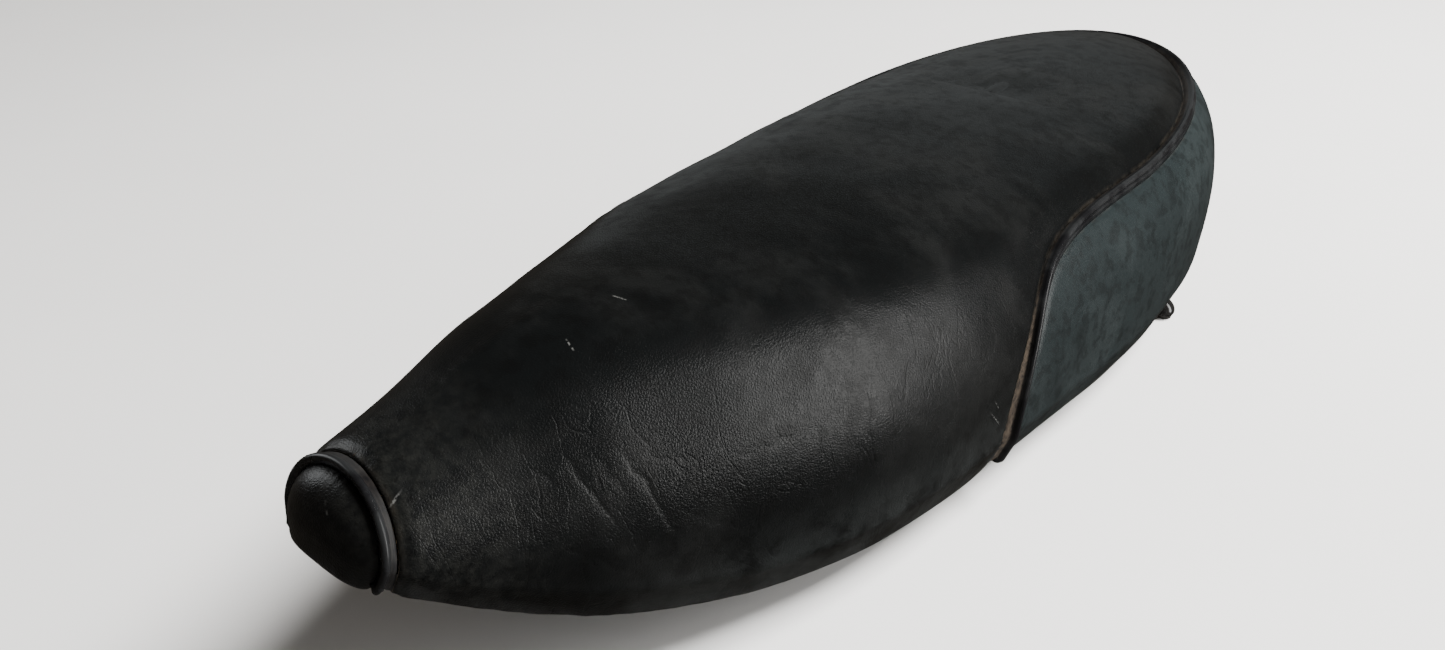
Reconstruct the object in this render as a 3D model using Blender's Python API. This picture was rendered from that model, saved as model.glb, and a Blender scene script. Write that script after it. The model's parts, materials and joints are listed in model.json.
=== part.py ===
"""A long motorcycle seat: a vinyl cover sewn from three panels with piped seams, stretched over
moulded foam on a pressed steel pan, with a front hinge, a rear latch and four rubber buffers.

The frame is in metres: +Y runs to the tail, +X to the rider's left, +Z up. The origin is on the
ground under the middle of the seat, which stands on its four buffers.

The skin is one law, skin(along, up, depth). along is -1 at the tip of the nose, 0 at the nose
arch, 1 where the tail begins and 2 at the end of the tail. up is 0 at the hem, 1 at the top of the
straight skirt, 2 at the widest line and 3 on the crown's middle line. depth is measured inwards,
along the normal.
"""
import math

import bmesh
import bpy
import numpy as np
from mathutils import Matrix, Vector

# Plan of the seat
ARCH_Y = -0.33845         # foot of the nose arch
BODY = 0.444              # from the arch to the start of the tail
TAIL = 0.238              # from there to the end of the tail
DOME = 0.009              # how far the nose panel bulges in front of the arch
ARCH_STEP = 0.0035        # the nose panel's rim is this much smaller than the arch
HALF_WIDTH = ([0, 0.12, 0.28, 0.5, 0.75, 1.0], [0.0285, 0.048, 0.073, 0.102, 0.1135, 0.1195])

# Side view: heights above the ground along the body, and at the end of the tail
CROWN = ([0, 0.2, 0.45, 0.7, 1.0], [0.1395, 0.1555, 0.1535, 0.1505, 0.1460])
HEM = ([0, 0.1, 0.25, 0.5, 0.75, 1.0], [0.105, 0.070, 0.036, 0.023, 0.022, 0.0215])
TAIL_HEM = 0.0215
NOSE_HEM_RISE = 0.010
ARCH_LEAN = 0.30          # the arch leans back, and the lean dies away over a fifth of the body
LEAN_END = 0.2

# Shape of the cross-section
SKIRT = (0.008, 0.016)    # straight part above the hem, at the arch and from LEAN_END on
WIDEST = 0.15             # height of the widest line, as a share of the section's height
TUCK = (0.003, 0.006)     # how far the hem is tucked in, at the arch and from LEAN_END on
SIDE_POWER = ([0, 0.45, 1.0], [1.04, 0.68, 0.53])
TOP_POWER = ([0, 0.45, 1.0], [1.04, 0.71, 0.67])
TAIL_SIDE_POWER = 0.38
TAIL_TOP_POWER = 0.46

# Rear seam: straight up the flank at SEAM_FOOT, then curving over to run along the shoulder
SEAM_FOOT = 0.655
SEAM_RISE = (0.40, 0.135)   # the seam turns over in a quick bend and a slow one
SEAM_TURN = (0.045, 0.14)

# Materials in their layers, from outside to inside
VINYL = 0.0015
CLEAR = 0.0003
FOAM_DEPTH = 0.0044
PAN = 0.0012
PAN_DEPTH = VINYL + CLEAR
PAN_FOOT = 0.14           # the pan's skirt stops this share of the skirt's height above the hem
LIP_DEPTH = PAN_DEPTH + PAN + CLEAR
LIP_TOP = 0.62            # the turned-in hem reaches this share of the skirt's height
CORD_RADIUS = 0.0018
CORD_PROUD = 0.0002       # the piping's centre stands this much outside the skin
SEAM_GAP = 0.0024         # from the piping's centre to a panel's edge

BREATHERS_AT = (0.58, 0.80)
BREATHER_X = 0.045
BREATHER_RADIUS = 0.011
CLIP_WIDTH = 0.008
CLIP_SHEET = 0.0008

# Underside
BRACE_DEPTH = 0.010
BRACE_RIM = 0.018
BRACE_WEB = 0.0105
BRACE_Y = {"front": -0.13325, "rear": 0.18275}
BUFFER_X = {"front": 0.062, "rear": 0.0955}
BUFFER_LEAN = {"front": 0.0, "rear": 0.0085}   # how far a buffer's foot leans outwards
HINGE_Y = -0.20525
LATCH_AHEAD_OF_TAIL = 0.050
BUFFER_HEAD = 0.0062
BUFFER_NECK = 0.0045
BUFFER_BULB = 0.0068
STUD_RADIUS = 0.003
HINGE_PIN_RADIUS = 0.003
LATCH_PIN_RADIUS = 0.0025

NOSE_TIP = -1.0
TAIL_END = 2.0
CROWN_LINE = 3.0
BEFORE_ARCH = -0.0001
NOSE_ROWS = [-1.0, -0.75, -0.5, -0.25, BEFORE_ARCH]
SEAM_STEP = SEAM_GAP / BODY
BODY_ROWS = [
    SEAM_STEP, 0.05, 0.1, 0.16, 0.22, 0.30, 0.38, 0.47, 0.56,
    SEAM_FOOT - SEAM_STEP, SEAM_FOOT, SEAM_FOOT + SEAM_STEP,
    0.669, 0.68, 0.695, 0.715, 0.745, 0.79, 0.86, 0.93, 1.0,
]
TAIL_ROWS = [1.12, 1.24, 1.36, 1.48, 1.6, 1.7, 1.8, 1.9, 2.0]
FLANK_COLUMNS = [1, 1.5]
UPPER_COLUMNS = 9


# ---------------------------------------------------------------- the skin

def spline(table, at, level_end=False):
    """Natural cubic spline through the table's values; level_end makes its last slope zero."""
    knots, values = np.array(table[0], float), np.array(table[1], float)
    count, step = len(knots), np.diff(table[0])
    slope = np.diff(values) / step
    system, right = np.eye(count), np.zeros(count)
    for i in range(1, count - 1):
        system[i, i - 1:i + 2] = step[i - 1], 2 * (step[i - 1] + step[i]), step[i]
        right[i] = 6 * (slope[i] - slope[i - 1])
    if level_end:
        system[-1, -2:] = step[-1], 2 * step[-1]
        right[-1] = -6 * slope[-1]
    bend = np.linalg.solve(system, right)
    i = int(np.clip(np.searchsorted(knots, at) - 1, 0, count - 2))
    left, after = at - knots[i], knots[i + 1] - at
    h = step[i]
    return (
        (bend[i] * after ** 3 + bend[i + 1] * left ** 3) / (6 * h)
        + (values[i] / h - bend[i] * h / 6) * after
        + (values[i + 1] / h - bend[i + 1] * h / 6) * left
    )


def fade(pair, along):
    """From the first value at the arch to the second at LEAN_END and beyond."""
    share = min(max(along, 0) / LEAN_END, 1)
    return pair[0] + (pair[1] - pair[0]) * share


def half_section(up, half_width, crown, hem, skirt, tuck, side_power, top_power):
    """Distance from the middle plane and height of one point of a section."""
    widest = hem + max(WIDEST * (crown - hem), 1.3 * skirt)
    if up >= 2:
        turn = min(up - 2, 1) * math.pi / 2
        out = half_width * max(math.cos(turn), 0) ** side_power
        return out, widest + (crown - widest) * math.sin(turn) ** top_power, widest
    rise = skirt * up if up < 1 else skirt + (widest - hem - skirt) * (up - 1)
    drop = 1 - rise / (widest - hem)
    bend = 1 - skirt / (widest - hem)
    scale = 1 / (2 * bend - bend ** 2)
    curve = drop ** 2 if drop < bend else bend ** 2 + 2 * bend * (drop - bend)
    return half_width - tuck * scale * curve, hem + rise, widest


def surface(along, up):
    """A point of the skin's outside, on the seat's left half."""
    if along < 0:
        turn = -along * math.pi / 2
        arch_hem = spline(HEM, 0)
        half_width = spline(HALF_WIDTH, 0, True) - ARCH_STEP
        crown = spline(CROWN, 0) - ARCH_STEP
        hem = arch_hem + NOSE_HEM_RISE * math.sin(turn) ** 2
        out, height, _ = half_section(
            up, half_width, crown, hem, SKIRT[0], TUCK[0], SIDE_POWER[1][0], TOP_POWER[1][0]
        )
        back = ARCH_Y + ARCH_LEAN * (height - arch_hem)
        ahead = DOME * math.sin(turn) * (out / half_width) ** 0.8
        return np.array([out * math.cos(turn), back - ahead, height])
    if along <= 1:
        hem = spline(HEM, along)
        out, height, _ = half_section(
            up, spline(HALF_WIDTH, along, True), spline(CROWN, along), hem,
            fade(SKIRT, along), fade(TUCK, along),
            np.interp(along, *SIDE_POWER), np.interp(along, *TOP_POWER),
        )
        lean = ARCH_LEAN * max(0, 1 - along / LEAN_END) ** 1.5
        return np.array([out, ARCH_Y + BODY * along + lean * (height - hem), height])
    turn = (along - 1) * math.pi / 2
    share = math.sin(turn) ** 2
    half_width, crown = spline(HALF_WIDTH, 1, True), spline(CROWN, 1)
    hem = spline(HEM, 1) + (TAIL_HEM - spline(HEM, 1)) * share
    side = SIDE_POWER[1][-1] + (TAIL_SIDE_POWER - SIDE_POWER[1][-1]) * share
    top = TOP_POWER[1][-1] + (TAIL_TOP_POWER - TOP_POWER[1][-1]) * share
    radius = math.hypot(half_width * math.cos(turn), TAIL * math.sin(turn))
    out, height, _ = half_section(up, radius, crown, hem, SKIRT[1], TUCK[1], side, top)
    reach = out / radius
    across = half_width * math.cos(turn) * reach
    return np.array([across, ARCH_Y + BODY + TAIL * math.sin(turn) * reach, height])


def normal(along, up):
    """Unit normal of the skin, pointing out."""
    low, high = (NOSE_TIP, BEFORE_ARCH) if along < 0 else (0, 1) if along <= 1 else (1, TAIL_END)
    if up == CROWN_LINE:
        at = min(max(along, 0), 1)
        run = surface(min(at + 0.02, 1), CROWN_LINE) - surface(max(at - 0.02, 0), CROWN_LINE)
        out = np.array([0, -run[2], run[1]])
        return out / np.linalg.norm(out)
    step = 0.004
    ahead = surface(min(along + step, high), up) - surface(max(along - step, low), up)
    over = surface(along, min(up + step, 2.98)) - surface(along, max(up - step, 0))
    out = np.cross(ahead, over)
    if along in (NOSE_TIP, TAIL_END):
        out[0] = 0
    return out / np.linalg.norm(out)


def skin(along, up, depth=0.0):
    """A point of the skin, or depth inside it."""
    point = surface(along, up)
    if depth:
        point = point - depth * normal(along, up)
    if up == CROWN_LINE or along in (NOSE_TIP, TAIL_END):
        point[0] = 0
    return point


def seam(along):
    """How far up the rear seam lies, from its foot to the end of the tail."""
    past = along - SEAM_FOOT
    return 2 + sum(
        rise * (1 - math.exp(-past / turn)) for rise, turn in zip(SEAM_RISE, SEAM_TURN)
    )


def seam_line():
    """Points along the rear seam, from the hem up the flank and round to the tail's end."""
    flank = [surface(SEAM_FOOT, up) for up in np.linspace(0, 2, 30)]
    stops = SEAM_FOOT + (TAIL_END - SEAM_FOOT) * np.linspace(0, 1, 300) ** 2
    return np.array(flank + [surface(along, seam(along)) for along in stops])


def beside_seam(along, sign):
    """How far up a panel's edge lies: above the seam for sign 1, below it for sign -1."""
    up, step = seam(max(along, SEAM_FOOT)), 0.002
    while np.linalg.norm(SEAM_LINE - surface(along, up), axis=1).min() < SEAM_GAP:
        up += sign * step
        if up < 2:
            return 2.0
    return up


def spread(count):
    """Shares from 0 to 1 that give a section evenly spaced points."""
    shares = []
    for i in range(count + 1):
        way = i / count
        shares.append(way ** 1.6 / (way ** 1.6 + (1 - way) ** 1.9))
    return shares


SEAM_LINE = seam_line()


# ---------------------------------------------------------------- making objects

def material(name, colour, roughness, metallic=0.0):
    made = bpy.data.materials.new(name)
    made.use_nodes = True
    shader = made.node_tree.nodes["Principled BSDF"]
    shader.inputs["Base Color"].default_value = (*colour, 1)
    shader.inputs["Roughness"].default_value = roughness
    shader.inputs["Metallic"].default_value = metallic
    return made


def add(name, mesh, finish, smooth=True):
    made = bpy.data.objects.new(name, mesh)
    bpy.context.scene.collection.objects.link(made)
    colour, roughness, metallic = finish
    mesh.materials.append(material(name, colour, roughness, metallic))
    if smooth:
        mesh.shade_smooth()
        mesh.set_sharp_from_angle(angle=math.radians(35))
    return made


def finish_mesh(name, work):
    bmesh.ops.remove_doubles(work, verts=work.verts, dist=0.00001)
    bmesh.ops.recalc_face_normals(work, faces=work.faces)
    mesh = bpy.data.meshes.new(name)
    work.to_mesh(mesh)
    work.free()
    return mesh


def thick_sheet(name, outside, inside, finish, kept=None):
    """A closed sheet between two grids of points of the left half, mirrored onto the right.

    kept(row, column) says which cells exist. Where an edge lies in the middle plane, the sheet
    runs on into its mirror image, so it gets no wall there.
    """
    work = bmesh.new()
    rows, columns = len(outside), len(outside[0])
    for sign in (1, -1):
        side = [
            [[work.verts.new((sign * p[0], p[1], p[2])) for p in row] for row in grid]
            for grid in (outside, inside)
        ]
        edges = {}
        for i in range(rows - 1):
            for j in range(columns - 1):
                if kept is None or kept(i, j):
                    cell = [(i, j), (i + 1, j), (i + 1, j + 1), (i, j + 1)]
                    for grid in side:
                        work.faces.new([grid[a][b] for a, b in cell])
                    for a, b in zip(cell, cell[1:] + cell[:1]):
                        key = (min(a, b), max(a, b))
                        edges[key] = edges.get(key, 0) + 1
        for (a, b), uses in edges.items():
            ends = [side[0][a[0]][a[1]], side[0][b[0]][b[1]]]
            in_middle = all(abs(end.co.x) < 1e-7 for end in ends)
            if uses == 1 and not in_middle:
                work.faces.new([*ends, side[1][b[0]][b[1]], side[1][a[0]][a[1]]])
    return add(name, finish_mesh(name, work), finish)


def turned(name, profile, centre, finish, sides=16):
    """A solid of revolution about the vertical through centre; profile is (radius, height)."""
    work = bmesh.new()
    ring = [work.verts.new((centre[0] + r, centre[1], centre[2] + z)) for r, z in profile]
    edges = [work.edges.new(pair) for pair in zip(ring, ring[1:])]
    bmesh.ops.spin(
        work, geom=ring + edges, cent=centre, axis=(0, 0, 1), angle=2 * math.pi,
        steps=sides, use_merge=True,
    )
    return add(name, finish_mesh(name, work), finish)


def rod(name, radius, start, end, finish, sides=16):
    """A plain round bar from start to end."""
    start, end = Vector(start), Vector(end)
    work = bmesh.new()
    turn = (end - start).to_track_quat("Z", "Y").to_matrix().to_4x4()
    bmesh.ops.create_cone(
        work, cap_ends=True, segments=sides, radius1=radius, radius2=radius,
        depth=(end - start).length, matrix=Matrix.Translation((start + end) / 2) @ turn,
    )
    return add(name, finish_mesh(name, work), finish)


def extruded(name, outline, axis, width, place, finish, slope=0.0):
    """An outline extruded evenly to both sides along X or Y, leaned about X and put in place."""
    work = bmesh.new()
    corners = []
    for a, b in outline:
        corners.append(work.verts.new((-width / 2, a, b) if axis == "X" else (a, -width / 2, b)))
    face = work.faces.new(corners)
    moved = bmesh.ops.extrude_face_region(work, geom=[face])
    shift = (width, 0, 0) if axis == "X" else (0, width, 0)
    bmesh.ops.translate(
        work, verts=[v for v in moved["geom"] if isinstance(v, bmesh.types.BMVert)], vec=shift
    )
    work.transform(Matrix.Translation(place) @ Matrix.Rotation(slope, 4, "X"))
    return add(name, finish_mesh(name, work), finish, smooth=False)


def tube(name, points, radius, finish, sides=2):
    """A cord along a smooth run of points, with closed ends."""
    curve = bpy.data.curves.new(name, "CURVE")
    curve.dimensions = "3D"
    curve.bevel_depth = radius
    curve.bevel_resolution = sides
    curve.use_fill_caps = True
    run = curve.splines.new("POLY")
    run.points.add(len(points) - 1)
    for spot, point in zip(run.points, points):
        spot.co = (*point, 1)
    made = bpy.data.objects.new(name, curve)
    bpy.context.scene.collection.objects.link(made)
    colour, roughness, metallic = finish
    curve.materials.append(material(name, colour, roughness, metallic))
    return made


def drill(target, label, radius, start, end, sides=16):
    """Cut a round hole through target."""
    cutter = rod("cutter_" + label, radius, start, end, BLACK_STEEL, sides)
    cutter.hide_render = True
    cutter.display_type = "WIRE"
    cut = target.modifiers.new(label, "BOOLEAN")
    cut.operation = "DIFFERENCE"
    cut.object = cutter


# ---------------------------------------------------------------- finishes

TOP_VINYL = ((0.018, 0.018, 0.019), 0.42, 0.0)
BAND_VINYL = ((0.030, 0.036, 0.038), 0.45, 0.0)
PIPING = ((0.012, 0.012, 0.013), 0.28, 0.0)
FOAM = ((0.62, 0.52, 0.30), 0.95, 0.0)
PAN_PAINT = ((0.05, 0.05, 0.052), 0.55, 0.4)
BLACK_STEEL = ((0.03, 0.03, 0.032), 0.45, 0.7)
ZINC = ((0.52, 0.50, 0.44), 0.38, 0.95)
SPRING_STEEL = ((0.30, 0.30, 0.31), 0.35, 0.95)
RUBBER = ((0.010, 0.010, 0.010), 0.32, 0.0)


# ---------------------------------------------------------------- cover, foam and pan

ROWS = NOSE_ROWS + BODY_ROWS + TAIL_ROWS
FIRST_BODY = len(NOSE_ROWS)
LAST_FULL = FIRST_BODY + BODY_ROWS.index(SEAM_FOOT - SEAM_STEP)
BAND_START = FIRST_BODY + BODY_ROWS.index(SEAM_FOOT + SEAM_STEP)


def wrap_columns(inner):
    """The turned-in hem, from its top down to the edge, as (up, depth) pairs."""
    if inner:
        return [(LIP_TOP, LIP_DEPTH), (PAN_FOOT - 0.04, LIP_DEPTH), (PAN_FOOT - 0.04, VINYL)]
    lip = LIP_DEPTH + VINYL
    return [(LIP_TOP, lip), (0, lip), (0, 0)]


def panel_rows(rows, top_of):
    """Outside and inside grids of a cover panel: its turned-in hem, then up to top_of(along)."""
    grids = []
    for inner in (False, True):
        depth = VINYL if inner else 0.0
        grid = []
        for along in rows:
            columns = wrap_columns(inner)
            columns += [(up, depth) for up in FLANK_COLUMNS + top_of(along)]
            grid.append([skin(along, up, deep) for up, deep in columns])
        grids.append(grid)
    return grids


def top_columns(along):
    start = 2.0 if along < SEAM_FOOT else beside_seam(along, 1)
    return [start + (CROWN_LINE - start) * share for share in spread(UPPER_COLUMNS)]


def band_columns(along):
    end = beside_seam(along, -1)
    return [2 + (end - 2) * share for share in (0, 0.2, 0.4, 0.58, 0.74, 0.88, 1)]


def nose_columns(along):
    return [2 + share for share in spread(UPPER_COLUMNS - 2)]


def cover():
    """The three vinyl panels. Behind the seam's foot the top panel has no flank or hem."""
    flank_cells = len(wrap_columns(False)) + len(FLANK_COLUMNS) - 1
    full = LAST_FULL - FIRST_BODY
    outside, inside = panel_rows(ROWS[FIRST_BODY:], top_columns)
    thick_sheet(
        "cover_top", outside, inside, TOP_VINYL, lambda i, j: j > flank_cells or i < full
    )
    outside, inside = panel_rows(ROWS[BAND_START:], band_columns)
    thick_sheet("cover_rear_band", outside, inside, BAND_VINYL)
    outside, inside = panel_rows(NOSE_ROWS, nose_columns)
    thick_sheet("cover_nose", outside, inside, TOP_VINYL)


def mirrored(points):
    """A run of points up to the middle plane, and its mirror image back down."""
    back = [np.array([-p[0], p[1], p[2]]) for p in reversed(points[:-1])]
    return points + back


def piping():
    """Cords over the seams; the nose cord's ends turn in under the hem."""
    arch = [skin(0, up, -CORD_PROUD) for up in np.linspace(0, 2, 5)]
    arch += [skin(0, 2 + share, -CORD_PROUD) for share in spread(10)[1:]]
    tube("nose_piping", mirrored(arch), CORD_RADIUS, PIPING)
    flank = [skin(SEAM_FOOT, up, -CORD_PROUD) for up in (0, 0.5, 1, 1.5)]
    stops = [SEAM_FOOT] + ROWS[BAND_START:]
    shoulder = [skin(along, seam(along), -CORD_PROUD) for along in stops]
    tube("rear_piping", mirrored(flank + shoulder), CORD_RADIUS, PIPING)


def deck_edge(along, depth, lift):
    """Where the pan's deck meets its skirt, depth inside the skin and raised by lift."""
    return skin(along, 1, depth) + np.array([0, 0, lift])


def deck_run(along, depth, lift, shares):
    """Points across the deck from its edge to the middle line, or to a fan's centre."""
    edge = deck_edge(along, depth, lift)
    middle = edge * np.array([0, 1, 1])
    if along < 0 or along > 1:
        middle = deck_edge(0 if along < 0 else 1, depth, lift) * np.array([0, 1, 1])
    return [edge + (middle - edge) * share for share in shares]


def foam_core():
    """Foam from the deck out to the cover, with a flat underside."""
    outside, underside = [], []
    for along in ROWS:
        upper = [2 + share for share in spread(UPPER_COLUMNS)]
        run = [skin(along, up, FOAM_DEPTH) for up in [1.5] + upper]
        outside.append([deck_edge(along, FOAM_DEPTH, CLEAR)] + run)
        shares = np.linspace(0, 1, len(run) + 1)
        underside.append(deck_run(along, FOAM_DEPTH, CLEAR, shares))
    thick_sheet("foam_core", outside, underside, FOAM)


def base_pan():
    """The pressed pan: a deck with a skirt turned down to the hem, with holes to breathe."""
    top, under = [], []
    shares = (0, 0.5, 1)
    for along in ROWS:
        top.append([skin(along, PAN_FOOT, PAN_DEPTH)] + deck_run(along, PAN_DEPTH, 0, shares))
        deep = PAN_DEPTH + PAN
        under.append([skin(along, PAN_FOOT, deep)] + deck_run(along, deep, -PAN, shares))
    pan = thick_sheet("base_pan", top, under, PAN_PAINT)
    for row, along in enumerate(BREATHERS_AT, 1):
        for sign, side in ((1, "left"), (-1, "right")):
            spot = deck_edge(along, PAN_DEPTH, 0)
            spot[0] = sign * BREATHER_X
            reach = np.array([0, 0, 0.02])
            drill(pan, "breather_%s_%d" % (side, row), BREATHER_RADIUS, spot - reach, spot + reach)
    return pan


def hem_clips():
    """Spring clips on the pan's inner skirt that press on the turned-in hem."""
    cells = [FIRST_BODY + 3, FIRST_BODY + 4, FIRST_BODY + 6, FIRST_BODY + 8]
    cells += [FIRST_BODY + 17, FIRST_BODY + 19, FIRST_BODY + 22, FIRST_BODY + 25]
    on_hem = LIP_DEPTH + VINYL + CLEAR
    on_pan = PAN_DEPTH + PAN + CLEAR
    path = [(0.15, on_hem), (LIP_TOP + 0.04, on_hem), (LIP_TOP + 0.12, on_pan), (0.85, on_pan)]
    for number, cell in enumerate(cells, 1):
        length = np.linalg.norm(skin(ROWS[cell + 1], 0) - skin(ROWS[cell], 0))
        ends = [0.5 - CLIP_WIDTH / 2 / length, 0.5 + CLIP_WIDTH / 2 / length]
        for sign, side in ((1, "left"), (-1, "right")):
            work = bmesh.new()
            loops = []
            for share in ends:
                loop = []
                for up, deep in path + [(u, d + CLIP_SHEET) for u, d in reversed(path)]:
                    first, second = skin(ROWS[cell], up, deep), skin(ROWS[cell + 1], up, deep)
                    spot = first + (second - first) * share
                    loop.append(work.verts.new((sign * spot[0], spot[1], spot[2])))
                work.faces.new(loop)
                loops.append(loop)
            count = len(loops[0])
            for k in range(count):
                n = (k + 1) % count
                work.faces.new([loops[0][k], loops[0][n], loops[1][n], loops[1][k]])
            name = "hem_clip_%s_%d" % (side, number)
            add(name, finish_mesh(name, work), SPRING_STEEL, smooth=False)


# ---------------------------------------------------------------- underside

def deck_under(y):
    """A point of the middle of the deck's underside, and the deck's slope there."""
    along = min((y - ARCH_Y) / BODY, 1)
    spot = deck_edge(along, PAN_DEPTH + PAN, -PAN)
    ahead, behind = deck_edge(along, PAN_DEPTH, 0), deck_edge(along - 0.04, PAN_DEPTH, 0)
    slope = 0 if along == 1 else math.atan2(ahead[2] - behind[2], ahead[1] - behind[1])
    return Vector((0, y, spot[2] - 2 * CLEAR)), slope


def brace_and_buffers(which):
    """A hat-section brace under the deck, and a rubber buffer below each of its ends."""
    spot, slope = deck_under(BRACE_Y[which])
    half = BUFFER_X[which] + BUFFER_HEAD - 0.001
    thick, rim, web = PAN, BRACE_RIM, BRACE_WEB
    outline = [
        (-rim, 0), (-web, 0), (-web, -BRACE_DEPTH + thick), (web, -BRACE_DEPTH + thick),
        (web, 0), (rim, 0), (rim, -thick), (web + thick, -thick), (web + thick, -BRACE_DEPTH),
        (-web - thick, -BRACE_DEPTH), (-web - thick, -thick), (-rim, -thick),
    ]
    brace = extruded("cross_brace_" + which, outline, "X", 2 * half, spot, PAN_PAINT, slope)
    underside = spot + Matrix.Rotation(slope, 3, "X") @ Vector((0, 0, -BRACE_DEPTH))
    for sign, side in ((1, "left"), (-1, "right")):
        label = which + "_" + side
        x = sign * BUFFER_X[which]
        top = underside.z - CLEAR - BRACE_WEB * abs(math.tan(slope))
        drill(brace, "stud_" + label, STUD_RADIUS + CLEAR, (x, underside.y, top - 0.004),
              (x, underside.y, top + 0.006))
        buffer(label, x, underside.y, top, sign * BUFFER_LEAN[which])


def buffer(label, x, y, top, lean):
    """A pear-shaped rubber buffer, the stud moulded into it, and the nut on the stud."""
    bulb, neck, head = BUFFER_BULB, BUFFER_NECK, BUFFER_HEAD
    middle = 0.0066
    profile = [(0, 0), (0.0040, 0), (0.0060, 0.0016)]
    for turn in np.radians([-20, 10, 40]):
        profile.append((bulb * math.cos(turn), middle + bulb * math.sin(turn)))
    profile += [(neck, middle + 0.0085), (neck, top - 0.0035), (head, top - 0.0022), (head, top)]
    socket = STUD_RADIUS + CLEAR
    profile += [(socket, top), (socket, top - 0.006), (0, top - 0.006)]
    rubber = turned("buffer_" + label, profile, (x, y, 0), RUBBER, 16)
    straight = top - 0.008
    for vertex in rubber.data.vertices:
        share = max(0, 1 - vertex.co.z / straight)
        vertex.co.x += lean * share * (2 - share)
    rod("buffer_stud_" + label, STUD_RADIUS, (x, y, top - 0.0057), (x, y, top + 0.0075), ZINC, 12)
    work = bmesh.new()
    slack = 0.0022
    hexagon(work, (x, y, top + PAN + slack), 0.0052, 0.0040, STUD_RADIUS + CLEAR)
    add("buffer_nut_" + label, finish_mesh(label, work), ZINC, smooth=False)


def hexagon(work, foot, reach, height, bore):
    """A hexagon nut standing on foot."""
    rings = []
    for z in (0, height):
        for radius, count in ((reach / math.cos(math.pi / 6), 6), (bore, 12)):
            ring = []
            for k in range(12):
                turn = 2 * math.pi * k / 12
                size = radius if count == 12 or k % 2 == 0 else radius * math.cos(math.pi / 6)
                ring.append(work.verts.new((
                    foot[0] + size * math.cos(turn), foot[1] + size * math.sin(turn), foot[2] + z
                )))
            rings.append(ring)
    low_out, low_in, high_out, high_in = rings
    for k in range(12):
        n = (k + 1) % 12
        for a, b in ((low_out, high_out), (high_out, high_in), (high_in, low_in), (low_in, low_out)):
            work.faces.new([a[k], a[n], b[n], b[k]])


def rivet(name, x, y, low, high, slope):
    """A rivet with a low round head below and its shank up through the sheets."""
    head, shank = 0.0042, 0.0022
    profile = [(0, -0.0018), (0.0024, -0.0016), (0.0038, -0.0008), (head, 0), (shank, 0)]
    profile += [(shank, high - low), (0, high - low)]
    made = turned(name, profile, (0, 0, 0), ZINC, 12)
    made.matrix_world = Matrix.Translation((x, y, low)) @ Matrix.Rotation(slope, 4, "X")
    return made


def clevis(name, pan, at_point, slope, lug, ear, length, drop, thick):
    """A bracket riveted under the deck: ears at the top and two lugs hanging down."""
    outline = [
        (-ear, 0), (ear, 0), (ear, -thick), (lug + thick, -thick),
        (lug + thick, -drop), (lug, -drop), (lug, -thick), (-lug, -thick), (-lug, -drop),
        (-lug - thick, -drop), (-lug - thick, -thick), (-ear, -thick),
    ]
    made = extruded(name, outline, "Y", length, at_point, BLACK_STEEL, slope)
    tilt = Matrix.Rotation(slope, 3, "X")
    for sign, side in ((1, "left"), (-1, "right")):
        x = sign * (ear - 0.006)
        low = at_point + tilt @ Vector((x, 0, -thick - CLEAR))
        high = at_point + tilt @ Vector((x, 0, 0.0008))
        for target, label in ((made, "ear"), (pan, name)):
            drill(target, "%s_%s" % (label, side), 0.0022 + CLEAR, low + (low - high),
                  high + (high - low))
        rivet(name + "_rivet_" + side, low.x, low.y, low.z, low.z + (high - low).length, slope)
    return made


def pin_and_washer(name, centre, reach, bracket, radius):
    """A headed pin through both lugs, and the push-on washer at its far end."""
    x, y, z = centre
    drill(bracket, "pin", radius + CLEAR, (x - reach - 0.01, y, z), (x + reach + 0.01, y, z))
    head, thick_head, length = radius + 0.0018, 0.0015, 2 * reach + 0.0045
    profile = [(0, 0), (head, 0), (head, thick_head), (radius, thick_head)]
    profile += [(radius, length), (0, length)]
    pin = turned(name, profile, (0, 0, 0), ZINC, 16)
    lie = Matrix.Rotation(math.pi / 2, 4, "Y")
    pin.matrix_world = Matrix.Translation((-reach - thick_head - CLEAR, y, z)) @ lie
    hole, rim, thick = radius + CLEAR, radius + 0.0022, 0.001
    ring = [(hole, 0), (rim, 0), (rim, thick), (hole, thick), (hole, 0)]
    washer = turned(name + "_washer", ring, (0, 0, 0), SPRING_STEEL, 16)
    washer.matrix_world = Matrix.Translation((reach + CLEAR, y, z)) @ lie


def front_hinge(pan):
    """The seat's leaf, the leaf that bolts to the frame, and their pin."""
    spot, slope = deck_under(HINGE_Y)
    lug, thick, drop = 0.0170, 0.0020, 0.0155
    leaf = clevis("hinge_seat_leaf", pan, spot, slope, lug, 0.031, 0.016, drop, thick)
    centre = spot + Matrix.Rotation(slope, 3, "X") @ Vector((0, 0, -0.0105))
    pin_and_washer("hinge_pin", centre, lug + thick, leaf, HINGE_PIN_RADIUS)
    barrel, plate, hang = 0.0055, 0.0012, 0.0205
    outline = []
    start = math.asin(plate / barrel)
    for k in range(13):
        turn = -math.pi / 2 + start + (2 * math.pi - 2 * start) * k / 12
        outline.append((barrel * math.cos(turn), barrel * math.sin(turn)))
    outline += [(-plate, -hang), (plate, -hang)]
    frame_leaf = extruded("hinge_frame_leaf", outline, "X", 0.033, (0, 0, 0), BLACK_STEEL)
    frame_leaf.location = centre
    drill(frame_leaf, "bore", HINGE_PIN_RADIUS + CLEAR, centre - Vector((0.03, 0, 0)),
          centre + Vector((0.03, 0, 0)))
    for sign, side in ((1, "left"), (-1, "right")):
        hole = centre + Vector((sign * 0.009, 0, -0.0135))
        drill(frame_leaf, "bolt_" + side, 0.0032, hole - Vector((0, 0.01, 0)),
              hole + Vector((0, 0.01, 0)))


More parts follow.
